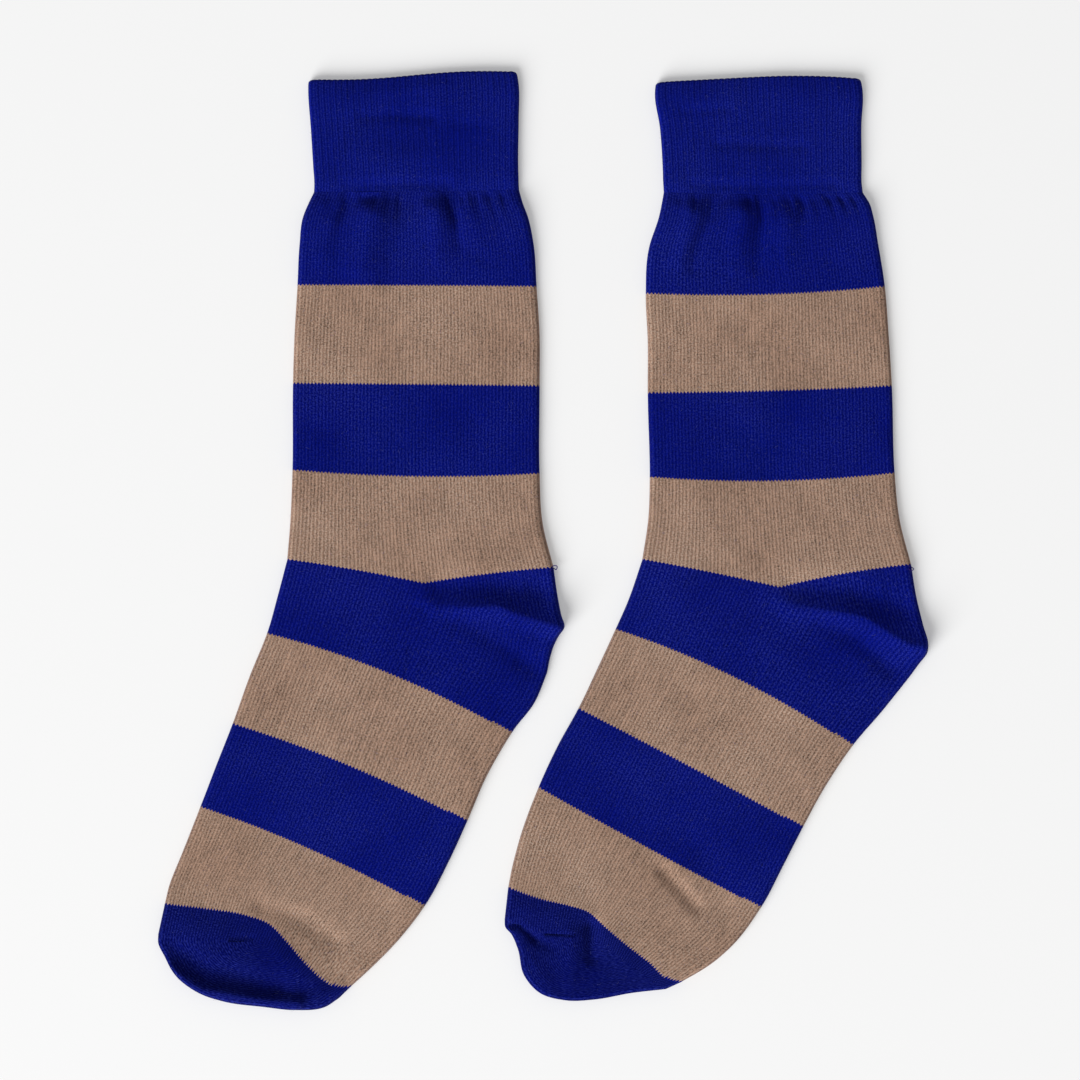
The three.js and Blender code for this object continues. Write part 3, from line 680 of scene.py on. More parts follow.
def gathered(gathers, columns, down, seed):
    """Gathers below the cuff: the ones of the table, and fine puckers between them."""
    across = columns["across"]
    width = columns["width"]
    total = np.zeros(len(across))
    start = 1 - math.exp(-((down / GATHER_START) ** 2))
    for gather in gathers:
        off = (across - gather.across) * width - gather.lean * down / gather.reach
        fade = start * math.exp(-((down / gather.reach) ** 2))
        total -= gather.depth * np.exp(-((off / GATHER_WIDTH) ** 2)) * fade
    random = np.random.default_rng(seed + 7)
    places = (np.arange(PUCKERS) + random.uniform(0.15, 0.85, PUCKERS)) / PUCKERS
    depths = random.uniform(*PUCKER_DEPTH, PUCKERS)
    reaches = random.uniform(*PUCKER_REACH, PUCKERS)
    widths = random.uniform(*PUCKER_WIDTH, PUCKERS)
    for place, depth, reach, wide in zip(places, depths, reaches, widths):
        off = (across - place) * width
        fade = start * math.exp(-((down / reach) ** 2))
        total -= depth * np.exp(-((off / wide) ** 2)) * fade
    return total


def column_facts(columns, chosen=slice(None), width=100.0):
    """What the surface relief reads of each column."""
    across = 0.5 + 0.5 * columns.side * columns.reach
    return {
        "lift": columns.lift[chosen],
        "wale": columns.wale[chosen],
        "across": across[chosen],
        "width": width,
    }


def inner_stations(count):
    """Every few stations, with the first and the last."""
    return sorted(set(range(0, count, INNER_STEP)) | {count - 1})


def tube_skin(skin, rows, columns, sizes, shapes, gathers=False):
    """Both skins of a tube. Returns the numbers of the outer and the inner points."""
    tube = Tube(rows, columns)
    cloth = sizes.cloth / MM
    rise = sizes.wale_rise / MM
    outer_ids = []
    inner_ids = []
    inner_at = inner_stations(len(tube.stations))
    for i, (at, _course) in enumerate(tube.stations):
        down = at if gathers else None
        plan, half = tube.section(at, 0.0)
        width = math.hypot(*(plan[columns.last_flat] - plan[0]))
        facts = column_facts(columns, width=width)
        points = surface(plan, half, facts, 0.0, sizes, shapes, down, rise, rise)
        outer_ids.append(skin.add(points, True))
        if i in inner_at:
            plan, half = tube.section(at, cloth)
            points = surface(plan, half, facts, cloth, sizes, shapes, down, 0.0, rise)
            inner_ids.append(skin.add(points, False))
    outer_ids = np.array(outer_ids)
    inner_ids = np.array(inner_ids)
    courses = [course for _at, course in tube.stations]
    outer_knit = knit_of(columns, courses)
    inner_knit = knit_of(columns, [courses[i] for i in inner_at])
    skin.sheet(wrap(outer_ids), outer_knit, inward=False)
    skin.sheet(wrap(inner_ids), inner_knit, inward=True)
    return outer_ids, inner_ids, outer_knit


def fan_skin(skin, apex, apex_height, turns, corner, columns, sizes, shapes, first=None, last=None):
    """Both skins of a turned pocket, from its first ray round its corner to its last. first and
    last are the numbers of the outer and inner points that its ends share with a tube."""
    rays, ats, knots = turns_between(turns, sizes.course / MM)
    back = columns.back
    facts = column_facts(columns, back)
    results = []
    for skin_number, cloth in enumerate((0.0, sizes.cloth / MM)):
        chosen = range(len(rays)) if skin_number == 0 else inner_stations(len(rays))
        ids = []
        for i in chosen:
            if i == 0 and first is not None:
                ids.append(first[skin_number])
                continue
            if i == len(rays) - 1 and last is not None:
                ids.append(last[skin_number])
                continue
            plan, half = fan_section(apex, apex_height, rays[i], columns, cloth)
            rise = 0.0 if cloth else sizes.wale_rise / MM
            points = surface(
                plan, half, facts, cloth, sizes, shapes, None, rise, sizes.wale_rise / MM)
            if ids:
                new = skin.add(points[1:-1], skin_number == 0)
                ids.append(np.concatenate((ids[0][:1], new, ids[0][-1:])))
            else:
                ids.append(skin.add(points, skin_number == 0))
        ids = np.array(ids)
        share = columns.reach[back] * (1 - columns.out[back]) + columns.out[back]
        courses = []
        for i in chosen:
            at = ats[i]
            if at <= knots[corner]:
                courses.append(POCKET_COURSES * share * at / knots[corner])
            else:
                left = (knots[-1] - at) / (knots[-1] - knots[corner])
                courses.append(POCKET_COURSES * (2 - share * left))
        knit = knit_of(columns, np.array(courses), facts["wale"])
        skin.sheet(ids, knit, inward=skin_number == 1)
        results.append((ids, knit))
    return results


def shapes_of(sock, seed):
    """What shapes the surface of one sock."""
    return {"folds": sock["folds"], "gathers": sock["gathers"], "seed": seed}


def tube_mesh(name, rows, columns, sizes, shapes, material, gathers=False):
    """A closed shell of a tube that is open at both ends."""
    skin = Skin()
    outer, inner, knit = tube_skin(skin, rows, columns, sizes, shapes, gathers)
    for end, at_end in ((0, False), (-1, True)):
        skin.rim(wrap(outer)[end], wrap(inner)[end], knit[end], at_end)
    return skin.mesh(name, material)


def leg_mesh(name, sock, *facts):
    """The leg's shell, which starts on the cuff's last line."""
    return tube_mesh(name, carried_on(sock["cuff"], sock["leg"]), *facts, gathers=True)


def foot_mesh(name, sock, *facts):
    """The foot's shell."""
    return tube_mesh(name, sock["foot"], *facts)


def heel_mesh(name, sock, columns, sizes, shapes, material):
    """A closed shell of the turned heel, between the ankle line and the start of the sole."""
    skin = Skin()
    ankle = sock["leg"][-1]
    (outer, knit), (inner, _inner_knit) = fan_skin(
        skin, ankle.mid, ankle.height, sock["heel"], sock["heel_corner"], columns, sizes, shapes)
    for end, at_end in ((0, False), (-1, True)):
        skin.rim(outer[end], inner[end], knit[end], at_end)
    return skin.mesh(name, material)


def toe_mesh(name, sock, columns, sizes, shapes, material):
    """A closed shell of the toe cap: a short tube, then a pocket that turns under the toes and
    is linked to the tube's front half."""
    skin = Skin()
    rows = carried_on(sock["foot"], sock["toe"])
    outer, inner, knit = tube_skin(skin, rows, columns, sizes, shapes)
    skin.rim(wrap(outer)[0], wrap(inner)[0], knit[0], False)
    pocket_row = rows[-1]
    first = [ids[-1][columns.back] for ids in (outer, inner)]
    last = [ids[-1][columns.mirror] for ids in (outer, inner)]
    fan_skin(
        skin, pocket_row.mid, pocket_row.height, sock["pocket"], sock["pocket_corner"],
        columns, sizes, shapes, first, last)
    return skin.mesh(name, material)


def cuff_mesh(name, sock, columns, sizes, shapes, material):
    """A closed shell of the cuff with smooth faces. Its ribs are raised afterwards."""
    skin = Skin()
    tube = Tube(sock["cuff"], columns)
    cloth = sizes.cloth / MM
    own = {**shapes, "folds": sock["cuff_folds"]}
    stops = [(at, at) for at in LIP_LINES]
    stops += [stop for stop in tube.stations if stop[0] > LIP_LINES[-1] + 0.1]
    skins = []
    for skin_number, depth in enumerate((0.0, cloth)):
        ids = []
        courses = []
        for i, (at, course) in enumerate(stops):
            if skin_number == 1 and i % CUFF_INNER_STEP and i != len(stops) - 1:
                continue
            plan, half = tube.section(at, depth)
            # The lip of the mouth is rounded, and its corners are
            lip = max(sizes.lip / MM - at, 0.0) / (sizes.lip / MM)
            corner = max(sizes.corner / MM - at, 0.0)
            draw = sizes.corner / MM - math.sqrt(max((sizes.corner / MM) ** 2 - corner ** 2, 0))
            facts = column_facts(columns)
            edge = (facts["across"] - 0.5) * 2
            plan[:, 0] -= draw * np.sign(edge) * np.abs(edge) ** CORNER_SQUARENESS
            sway = sock["sway"] * np.sin(2 * np.pi * facts["across"])
            plan[:, 1] += sway * max(0, 1 - at / SWAY_REACH)
            thin = depth
            if skin_number == 0:
                thin = LIP_THINNING * cloth * lip * lip
            points = surface(plan, half, facts, thin, sizes, own, None, 0.0, sizes.rib_rise / MM)
            fade = min((stops[-1][0] - at) / RIB_FADE, 1.0)
            ids.append(skin.add(points, fade if skin_number == 0 else 0.0))
            courses.append(course)
        skins.append((np.array(ids), knit_of(columns, courses)))
    (outer, outer_knit), (inner, inner_knit) = skins
    skin.sheet(wrap(outer), outer_knit, inward=False)
    skin.sheet(wrap(inner), inner_knit, inward=True)
    for end, at_end in ((0, False), (-1, True)):
        skin.rim(wrap(outer)[end], wrap(inner)[end], outer_knit[end], at_end)
    return skin.mesh(name, material)


# Node trees


def wire(tree, value, socket):
    """Joins a socket or sets its value."""
    if isinstance(value, bpy.types.NodeSocket):
        tree.links.new(value, socket)
    else:
        socket.default_value = value


def add_node(tree, kind, inputs=(), **settings):
    """A new node with its settings, and its inputs joined or set by name or number."""
    node = tree.nodes.new(kind)
    for name, value in settings.items():
        setattr(node, name, value)
    for key, value in dict(inputs).items():
        wire(tree, value, node.inputs[key])
    return node


def math_node(tree, operation, *values):
    """The result of a Math node."""
    node = add_node(tree, "ShaderNodeMath", dict(enumerate(values)), operation=operation)
    return node.outputs[0]


def times(tree, *values):
    """One value times another."""
    return math_node(tree, "MULTIPLY", *values)


def times_plus(tree, *values):
    """One value times another, plus a third."""
    return math_node(tree, "MULTIPLY_ADD", *values)


def minus(tree, *values):
    """One value less another."""
    return math_node(tree, "SUBTRACT", *values)


def new_group(name, kind, inputs, outputs):
    """A node group with named sockets: (name, socket type, default)."""
    tree = bpy.data.node_groups.new(name, kind)
    for socket_name, socket_type, default in inputs:
        socket = tree.interface.new_socket(socket_name, in_out="INPUT", socket_type=socket_type)
        if default is not None:
            socket.default_value = default
    for socket_name, socket_type in outputs:
        tree.interface.new_socket(socket_name, in_out="OUTPUT", socket_type=socket_type)
    return tree, tree.nodes.new("NodeGroupInput").outputs, tree.nodes.new("NodeGroupOutput").inputs


def stitch_group():
    """Plain knit: the height of its loops, the grooves between wales, and a number per stitch."""
    tree, given, result = new_group(
        "Knit Stitches", "ShaderNodeTree",
        [("Knit", "NodeSocketVector", None), ("Slant", "NodeSocketFloat", 1.6)],
        [
            ("Height", "NodeSocketFloat"), ("Groove", "NodeSocketFloat"),
            ("Crown", "NodeSocketFloat"), ("Stitch", "NodeSocketFloat"),
        ])
    place = add_node(tree, "ShaderNodeSeparateXYZ", {0: given["Knit"]}).outputs
    across = minus(tree, math_node(tree, "FRACT", place[0]), 0.5)
    off = math_node(tree, "ABSOLUTE", across)
    leg = math_node(tree, "ABSOLUTE", minus(tree, off, 0.25))
    leg = times_plus(tree, leg, -4.0, 1.0)
    leg = times(tree, leg, minus(tree, 2.0, leg))
    course = times_plus(tree, off, given["Slant"], place[1])
    bead = times_plus(tree, math_node(tree, "FRACT", course), 2.0, -1.0)
    bead = minus(tree, 1.0, times(tree, bead, bead))
    wale = times(tree, off, 2.0)
    wale = minus(tree, 1.0, times(tree, wale, wale))
    wire(tree, math_node(tree, "POWER", wale, 3.0), result["Crown"])
    height = times(tree, wale, 0.6)
    height = times_plus(tree, leg, 0.15, height)
    height = times_plus(tree, bead, 0.25, height)
    wire(tree, height, result["Height"])
    groove = add_node(tree, "ShaderNodeMapRange", {0: off, 1: 0.38, 2: 0.5, 3: 0.0, 4: 1.0})
    gap = times(tree, minus(tree, 1.0, bead), 0.25)
    wire(tree, math_node(tree, "MAXIMUM", groove.outputs[0], gap), result["Groove"])
    cell = add_node(tree, "ShaderNodeCombineXYZ", {
        0: math_node(tree, "FLOOR", place[0]), 1: math_node(tree, "FLOOR", course),
        2: math_node(tree, "SIGN", across)})
    noise = add_node(tree, "ShaderNodeTexWhiteNoise", {0: cell.outputs[0]}, noise_dimensions="3D")
    wire(tree, noise.outputs["Value"], result["Stitch"])
    return tree


def yarn_group():
    """How light the yarn is: each stitch, streaks along the wales, fibres, soft blotches, a painted
    highlight on each wale's crown and painted shade in its grooves.
    """
    tree, given, result = new_group(
        "Yarn Tone", "ShaderNodeTree",
        [
            ("Knit", "NodeSocketVector", None), ("Place", "NodeSocketVector", None),
            ("Stitch", "NodeSocketFloat", 0.5), ("Crown", "NodeSocketFloat", 0.5),
            ("Groove", "NodeSocketFloat", 0.0),
            *((name, "NodeSocketFloat", 0.3) for name in CONTRASTS),
        ],
        [("Tone", "NodeSocketFloat")])

    def noise(vector, stretch, scale, detail):
        if stretch:
            vector = add_node(tree, "ShaderNodeVectorMath", {0: vector, 1: stretch},
                              operation="MULTIPLY").outputs[0]
        return add_node(tree, "ShaderNodeTexNoise", {
            "Vector": vector, "Scale": scale, "Detail": detail}, noise_dimensions="3D").outputs[0]

    # The crown's line is a painted highlight along the top of each wale, and it shows more on some wales
    # than on others
    line = times_plus(tree, noise(given["Knit"], (0.7, 0.11, 1.0), 1.0, 1.0), 2.6, -0.3)
    tone = 1.0
    for value, middle, amount in (
            (given["Stitch"], 0.5, given["Stitch Contrast"]),
            (noise(given["Knit"], (1.0, 0.09, 1.0), 1.0, 2.0), 0.5, given["Streak Contrast"]),
            (noise(given["Knit"], (2.9, 1.7, 1.0), 1.0, 1.0), 0.5, given["Fibre Contrast"]),
            (noise(given["Place"], None, 60.0, 3.0), 0.5, given["Blotch Contrast"]),
            (times(tree, given["Crown"], line), 0.457, given["Crown Light"])):
        centred = minus(tree, value, middle)
        tone = times_plus(tree, centred, amount, tone)
    shade = times(tree, given["Groove"], given["Groove Shade"])
    wire(tree, minus(tree, tone, shade), result["Tone"])
    return tree


def lint_group():
    """Pale specks of loose fibre on the yarn."""
    tree, given, result = new_group(
        "Lint Specks", "ShaderNodeTree",
        [
            ("Knit", "NodeSocketVector", None), ("Place", "NodeSocketVector", None),
            ("Crown", "NodeSocketFloat", 1.0), ("Amount", "NodeSocketFloat", 0.5),
        ],
        [("Lint", "NodeSocketFloat")])
    patch = add_node(tree, "ShaderNodeTexNoise", {
        "Vector": given["Place"], "Scale": 28.0, "Detail": 2.0}, noise_dimensions="3D")
    patch = times_plus(tree, patch.outputs[0], 2.4, -0.2)
    amount = times(tree, patch, given["Amount"])
    stretch = add_node(tree, "ShaderNodeVectorMath", {0: given["Knit"], 1: (2.6, 1.6, 1.0)},
                       operation="MULTIPLY")
    noise = add_node(tree, "ShaderNodeTexNoise", {
        "Vector": stretch.outputs[0], "Scale": 1.0, "Detail": 2.0}, noise_dimensions="3D")
    value = times_plus(tree, given["Crown"], 0.12, noise.outputs[0])
    mask = add_node(tree, "ShaderNodeMapRange", {0: value, 1: 0.50, 2: 0.78, 3: 0.0, 4: 1.0})
    wire(tree, times(tree, mask.outputs[0], amount), result["Lint"])
    return tree


def stripe_group():
    """Which stitches are knitted in the second colour."""
    tree, given, result = new_group(
        "Knitted Stripes", "ShaderNodeTree",
        [
            ("Knit", "NodeSocketVector", None), ("First Change", "NodeSocketFloat", 36.0),
            ("Second Change", "NodeSocketFloat", 74.0), ("Third Change", "NodeSocketFloat", 108.0),
            ("Fourth Change", "NodeSocketFloat", 148.0), ("Tooth", "NodeSocketFloat", 0.8),
            ("Jog", "NodeSocketFloat", 0.0),
        ],
        [("Second Colour", "NodeSocketFloat")])
    place = add_node(tree, "ShaderNodeSeparateXYZ", {0: given["Knit"]}).outputs
    off = math_node(tree, "ABSOLUTE", minus(tree, math_node(tree, "FRACT", place[0]), 0.5))
    tooth = times(tree, minus(tree, off, 0.25), given["Tooth"])
    tooth = times(tree, tooth, 2.0)
    turn = math_node(tree, "DIVIDE", minus(tree, place[0], ROUND_START), float(NEEDLES))
    turn = minus(tree, 0.5, math_node(tree, "FRACT", turn))
    turn = times(tree, turn, given["Jog"])
    course = math_node(tree, "ADD", math_node(tree, "ADD", place[1], tooth), turn)
    mask = 0.0
    signs = {"First Change": 1.0, "Second Change": -1.0, "Third Change": 1.0, "Fourth Change": -1.0}
    for name, sign in signs.items():
        passed = math_node(tree, "GREATER_THAN", course, given[name])
        mask = times_plus(tree, passed, sign, mask)
    wire(tree, mask, result["Second Colour"])
    return tree


def group_node(tree, group, inputs):
    """A node that places a shared group."""
    node = tree.nodes.new("ShaderNodeGroup")
    node.node_tree = bpy.data.node_groups[group]
    for key, value in inputs.items():
        wire(tree, value, node.inputs[key])
    return node.outputs


def knit_material(name, colours, yarn, changes=None, jog=0.0, ribbed=False):
    """A knitted yarn: striped where changes are given, and in ribs for the cuff."""
    material = bpy.data.materials.new(name)
    material.use_nodes = True
    tree = material.node_tree
    shader = tree.nodes["Principled BSDF"]
    knit = add_node(tree, "ShaderNodeAttribute", attribute_name="knit").outputs["Vector"]
    place = add_node(tree, "ShaderNodeTexCoord").outputs["Object"]
    if ribbed:
        knit = add_node(tree, "ShaderNodeVectorMath", {0: knit, 1: (2.0, 1.0, 1.0), 2: (-0.5, 0, 0)},
                        operation="MULTIPLY_ADD").outputs[0]
    stitches = group_node(tree, "Knit Stitches", {"Knit": knit})
    tone = group_node(tree, "Yarn Tone", {
        "Knit": knit, "Place": place, "Stitch": stitches["Stitch"], "Crown": stitches["Crown"],
        "Groove": stitches["Groove"],
        **{name: getattr(colours, name.lower().replace(" ", "_")) for name in CONTRASTS},
    })["Tone"]
    if ribbed:
        wale = add_node(tree, "ShaderNodeSeparateXYZ", {0: knit}).outputs[0]
        turn = times(tree, math_node(tree, "ADD", wale, 0.5), math.pi)
        valley = times_plus(tree, math_node(tree, "COSINE", turn), 0.5, 0.5)
        shade = times_plus(tree, valley, -colours.rib_shade, 1.0)
        tone = times(tree, tone, shade)
    lint = group_node(tree, "Lint Specks", {
        "Knit": knit, "Place": place, "Crown": stitches["Crown"], "Amount": colours.lint})["Lint"]
    soft = times_plus(tree, tone, colours.blue_contrast, 1.0 - colours.blue_contrast)
    colour = shaded_yarn(tree, yarn, soft, colours.blue_lint, lint)
    if changes:
        taupe = shaded_yarn(tree, colours.taupe, tone, colours.taupe_lint, lint)
        mask = group_node(tree, "Knitted Stripes", {
            "Knit": knit, "First Change": changes[0], "Second Change": changes[1],
            "Third Change": changes[2], "Fourth Change": changes[3], "Jog": jog})["Second Colour"]
        mix = add_node(tree, "ShaderNodeMix", {"Factor": mask, 6: colour, 7: taupe}, data_type="RGBA")
        colour = mix.outputs[2]
    tree.links.new(colour, shader.inputs["Base Color"])
    bump = add_node(tree, "ShaderNodeBump", {
        "Strength": 0.32, "Distance": 0.25 * MM, "Height": stitches["Height"]})
    tree.links.new(bump.outputs[0], shader.inputs["Normal"])
    finish_yarn(shader)
    return material


def shaded_yarn(tree, yarn, tone, pale, lint):
    """A yarn's colour times its tone, with pale lint on it."""
    shaded = add_node(tree, "ShaderNodeVectorMath", {0: tuple(yarn), "Scale": tone}, operation="SCALE")
    mix = add_node(tree, "ShaderNodeMix", {
        "Factor": lint, 6: shaded.outputs[0], 7: (*pale, 1.0)}, data_type="RGBA")
    return mix.outputs[2]


def finish_yarn(shader):
    """Dull cotton."""
    shader.inputs["Roughness"].default_value = 0.95
    shader.inputs["Specular IOR Level"].default_value = 0.01
    shader.inputs["Sheen Weight"].default_value = 0.06
    shader.inputs["Sheen Roughness"].default_value = 0.5
    shader.inputs["Sheen Tint"].default_value = (0.35, 0.38, 0.9, 1.0)


def plain_yarn(name, colour):
    """A yarn or fibre of one colour."""
    material = bpy.data.materials.new(name)
    material.use_nodes = True
    shader = material.node_tree.nodes["Principled BSDF"]
    shader.inputs["Base Color"].default_value = (*colour, 1.0)
    finish_yarn(shader)
    return material


def materials(colours):
    """All yarns, made once."""
    if "blue knit" not in bpy.data.materials:
        stitch_group()
        yarn_group()
        lint_group()
        stripe_group()
        knit_material("blue knit", colours, colours.blue)
        knit_material("blue toe knit", colours, colours.toe_blue)
        knit_material("blue rib knit", colours, colours.rib_blue, ribbed=True)
        knit_material("striped leg knit", colours, colours.blue, LEG_CHANGES)
        knit_material("striped foot knit", colours, colours.blue, FOOT_CHANGES, jog=0.5)
        plain_yarn("dark blue thread", colours.dark_thread)
        plain_yarn("violet thread", colours.violet_thread)
        plain_yarn("pale fibre", colours.pale_fibre)
    return bpy.data.materials


def geometry_tree(name, inputs):
    """An empty Geometry Nodes tree with named inputs."""
    tree, given, result = new_group(
        name, "GeometryNodeTree", [("Geometry", "NodeSocketGeometry", None), *inputs],
        [("Geometry", "NodeSocketGeometry")])
    tree.is_modifier = True
    return tree, given, result


def end_tree(tree, geometry, material, result):
    """Realizes what the tree made and gives it its material."""
    real = add_node(tree, "GeometryNodeRealizeInstances", {0: geometry})
    coat = add_node(tree, "GeometryNodeSetMaterial", {"Geometry": real.outputs[0], "Material": material})
    wire(tree, coat.outputs[0], result["Geometry"])


def named_value(tree, name, kind="FLOAT"):
    """A named attribute of the geometry."""
    node = add_node(tree, "GeometryNodeInputNamedAttribute", data_type=kind)
    node.inputs["Name"].default_value = name
    return node.outputs["Attribute"]


def rib_tree():
    """Raises round ribs along the wales of a plain cuff, on its outer skin alone."""
    tree, given, result = geometry_tree("Cuff Ribs", [
        ("Rib Rise", "NodeSocketFloat", 0.0004), ("Groove Width", "NodeSocketFloat", 0.6),
        ("Material", "NodeSocketMaterial", None)])
    turn = times(tree, named_value(tree, "rib"), math.pi)
    wave = math_node(tree, "ABSOLUTE", math_node(tree, "SINE", turn))
    wave = math_node(tree, "POWER", wave, given["Groove Width"])
    rise = times(tree, wave, given["Rib Rise"])
    rise = times(tree, rise, named_value(tree, "outer"))
    normal = tree.nodes.new("GeometryNodeInputNormal").outputs[0]
    offset = add_node(tree, "ShaderNodeVectorMath", {0: normal}, operation="SCALE")
    wire(tree, rise, offset.inputs["Scale"])
    moved = add_node(tree, "GeometryNodeSetPosition", {
        "Geometry": given["Geometry"], "Offset": offset.outputs[0]})
    end_tree(tree, moved.outputs[0], given["Material"], result)
    return tree


def link_tree():
    """Short linking stitches laid slantwise along a line."""
    tree, given, result = geometry_tree("Linking Stitches", [
        ("Step", "NodeSocketFloat", 0.0011), ("Radius", "NodeSocketFloat", 0.0002),
        ("Material", "NodeSocketMaterial", None)])
    curve = add_node(tree, "GeometryNodeMeshToCurve", {0: given["Geometry"]}).outputs[0]
    beads = add_node(tree, "GeometryNodeCurveToPoints", {
        "Curve": curve, "Length": given["Step"]}, mode="LENGTH")
    ball = add_node(tree, "GeometryNodeMeshUVSphere", {
        "Segments": 8, "Rings": 6, "Radius": given["Radius"]})
    stretch = add_node(tree, "GeometryNodeTransform", {
        "Geometry": ball.outputs[0], "Scale": (1.0, 1.0, 3.6)})
    turn = add_node(tree, "FunctionNodeRotateRotation", {
        0: beads.outputs["Rotation"], 1: (0.0, 0.35, 0.0)}, rotation_space="LOCAL")
    placed = add_node(tree, "GeometryNodeInstanceOnPoints", {
        "Points": beads.outputs["Points"], "Instance": stretch.outputs[0],
        "Rotation": turn.outputs[0]})
    end_tree(tree, placed.outputs[0], given["Material"], result)
    return tree


def thread_tree():
    """A round thread along a line."""
    tree, given, result = geometry_tree("Round Thread", [
        ("Radius", "NodeSocketFloat", 0.0002), ("Material", "NodeSocketMaterial", None)])
    curve = add_node(tree, "GeometryNodeMeshToCurve", {0: given["Geometry"]}).outputs[0]
    smooth = add_node(tree, "GeometryNodeCurveSplineType", {0: curve}, spline_type="CATMULL_ROM")
    fine = add_node(tree, "GeometryNodeResampleCurve", {"Curve": smooth.outputs[0], "Count": 40})
    ring = add_node(tree, "GeometryNodeCurvePrimitiveCircle", {
        "Resolution": 8, "Radius": given["Radius"]})
    tube = add_node(tree, "GeometryNodeCurveToMesh", {
        "Curve": fine.outputs[0], "Profile Curve": ring.outputs[0], "Fill Caps": True})
    end_tree(tree, tube.outputs[0], given["Material"], result)
    return tree


def lint_tree():
    """Loose bent fibres scattered over the outer skin."""
    tree, given, result = geometry_tree("Loose Fibres", [
        ("Density", "NodeSocketFloat", 40000.0), ("Length", "NodeSocketFloat", 0.0016),
        ("Radius", "NodeSocketFloat", 0.00002), ("Seed", "NodeSocketInt", 1),
        ("Material", "NodeSocketMaterial", None)])
    normal = tree.nodes.new("GeometryNodeInputNormal").outputs[0]
    tilt = add_node(tree, "ShaderNodeSeparateXYZ", {0: normal}).outputs[2]
    open_side = math_node(tree, "GREATER_THAN", tilt, 0.0)
    open_side = times(tree, open_side, named_value(tree, "outer"))
    points = add_node(tree, "GeometryNodeDistributePointsOnFaces", {
        "Mesh": given["Geometry"], "Selection": open_side,
        "Density": given["Density"], "Seed": given["Seed"]})
    far = times(tree, given["Length"], 0.9)
    rise = times(tree, given["Length"], 0.3)
    near = times(tree, given["Length"], -0.1)
    bend = add_node(tree, "ShaderNodeCombineXYZ", {0: times(tree, far, 0.5), 2: rise})
    tip = add_node(tree, "ShaderNodeCombineXYZ", {0: far, 1: times(tree, far, 0.3)})
    root = add_node(tree, "ShaderNodeCombineXYZ", {2: near})
    arc = add_node(tree, "GeometryNodeCurveQuadraticBezier", {
        "Resolution": 3, "Start": root.outputs[0], "Middle": bend.outputs[0], "End": tip.outputs[0]})
    ring = add_node(tree, "GeometryNodeCurvePrimitiveCircle", {
        "Resolution": 3, "Radius": given["Radius"]})
    fibre = add_node(tree, "GeometryNodeCurveToMesh", {
        "Curve": arc.outputs[0], "Profile Curve": ring.outputs[0]})
    spin = add_node(tree, "FunctionNodeRandomValue", {
        "Seed": given["Seed"]}, data_type="FLOAT_VECTOR")
    spin.inputs[0].default_value = (-0.5, -0.5, 0.0)
    spin.inputs[1].default_value = (0.5, 0.5, 6.283)
    turn = add_node(tree, "FunctionNodeRotateRotation", {
        0: points.outputs["Rotation"], 1: spin.outputs[0]}, rotation_space="LOCAL")
    size = add_node(tree, "FunctionNodeRandomValue", {"Seed": given["Seed"]}, data_type="FLOAT")
    size.inputs[2].default_value = 0.4
    size.inputs[3].default_value = 1.2
    placed = add_node(tree, "GeometryNodeInstanceOnPoints", {
        "Points": points.outputs["Points"], "Instance": fibre.outputs[0],
        "Rotation": turn.outputs[0], "Scale": size.outputs[1]})
    end_tree(tree, placed.outputs[0], given["Material"], result)
    return tree


def line_mesh(name, lines, under, lift):
    """Edges along lines of table points, laid on the object under them and lifted."""
    points = []
    edges = []
    for line in lines:
        for i, place in enumerate(line):
            x, y = (np.array(place[:2]) + FRAME_SHIFT) * MM
            hit, spot, _normal, _face = under.ray_cast(Vector((x, y, 1.0)), Vector((0, 0, -1)))
            if hit:
                height = spot.z + lift * MM
            elif points:
                height = points[-1][2]
            else:
                height = THREAD_HEIGHT + lift * MM
            points.append((x, y, height))
            if i:
                edges.append((len(points) - 2, len(points) - 1))
    mesh = bpy.data.meshes.new(name)
    mesh.from_pydata(points, edges, [])
    return mesh


def run_tree(mesh, name, tree, values):
    """The mesh that a tree makes of another one, as a plain mesh object."""
    obj = new_object(name, mesh)
    modifier = obj.modifiers.new(tree.name, "NODES")
    modifier.node_group = tree
    for item in tree.interface.items_tree:
        if item.item_type == "SOCKET" and item.in_out == "INPUT" and item.name in values:
            modifier[item.identifier] = values[item.name]
    graph = bpy.context.evaluated_depsgraph_get()
    made = bpy.data.meshes.new_from_object(
        obj.evaluated_get(graph), preserve_all_data_layers=True, depsgraph=graph)
    obj.modifiers.clear()
    obj.data = made
    made.name = name
    return obj


def new_object(name, mesh):
    """An object in the scene's own collection."""
    obj = bpy.data.objects.new(name, mesh)
    bpy.context.scene.collection.objects.link(obj)
    return obj


def settle(obj, nodes):
    """Ties a finished piece to the frame."""
    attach(obj, "root")
    if nodes:
        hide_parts(*nodes)
    return obj


def body_columns():
    """The columns of a plain section."""
    return Columns(NEEDLES, NEEDLES_ON_A_FOLD, top_step=0.5, under_step=1.0)


def length(name, description, default):
    """A size in metres."""
    return FloatProperty(name=name, description=description, default=default, unit="LENGTH")


def amount(name, description, default):
    """A plain number."""
    return FloatProperty(name=name, description=description, default=default)


def colour_of(name, description, default):
    """A colour."""
    return FloatVectorProperty(
        name=name, description=description, default=default, subtype="COLOR", min=0.0, max=1.0)


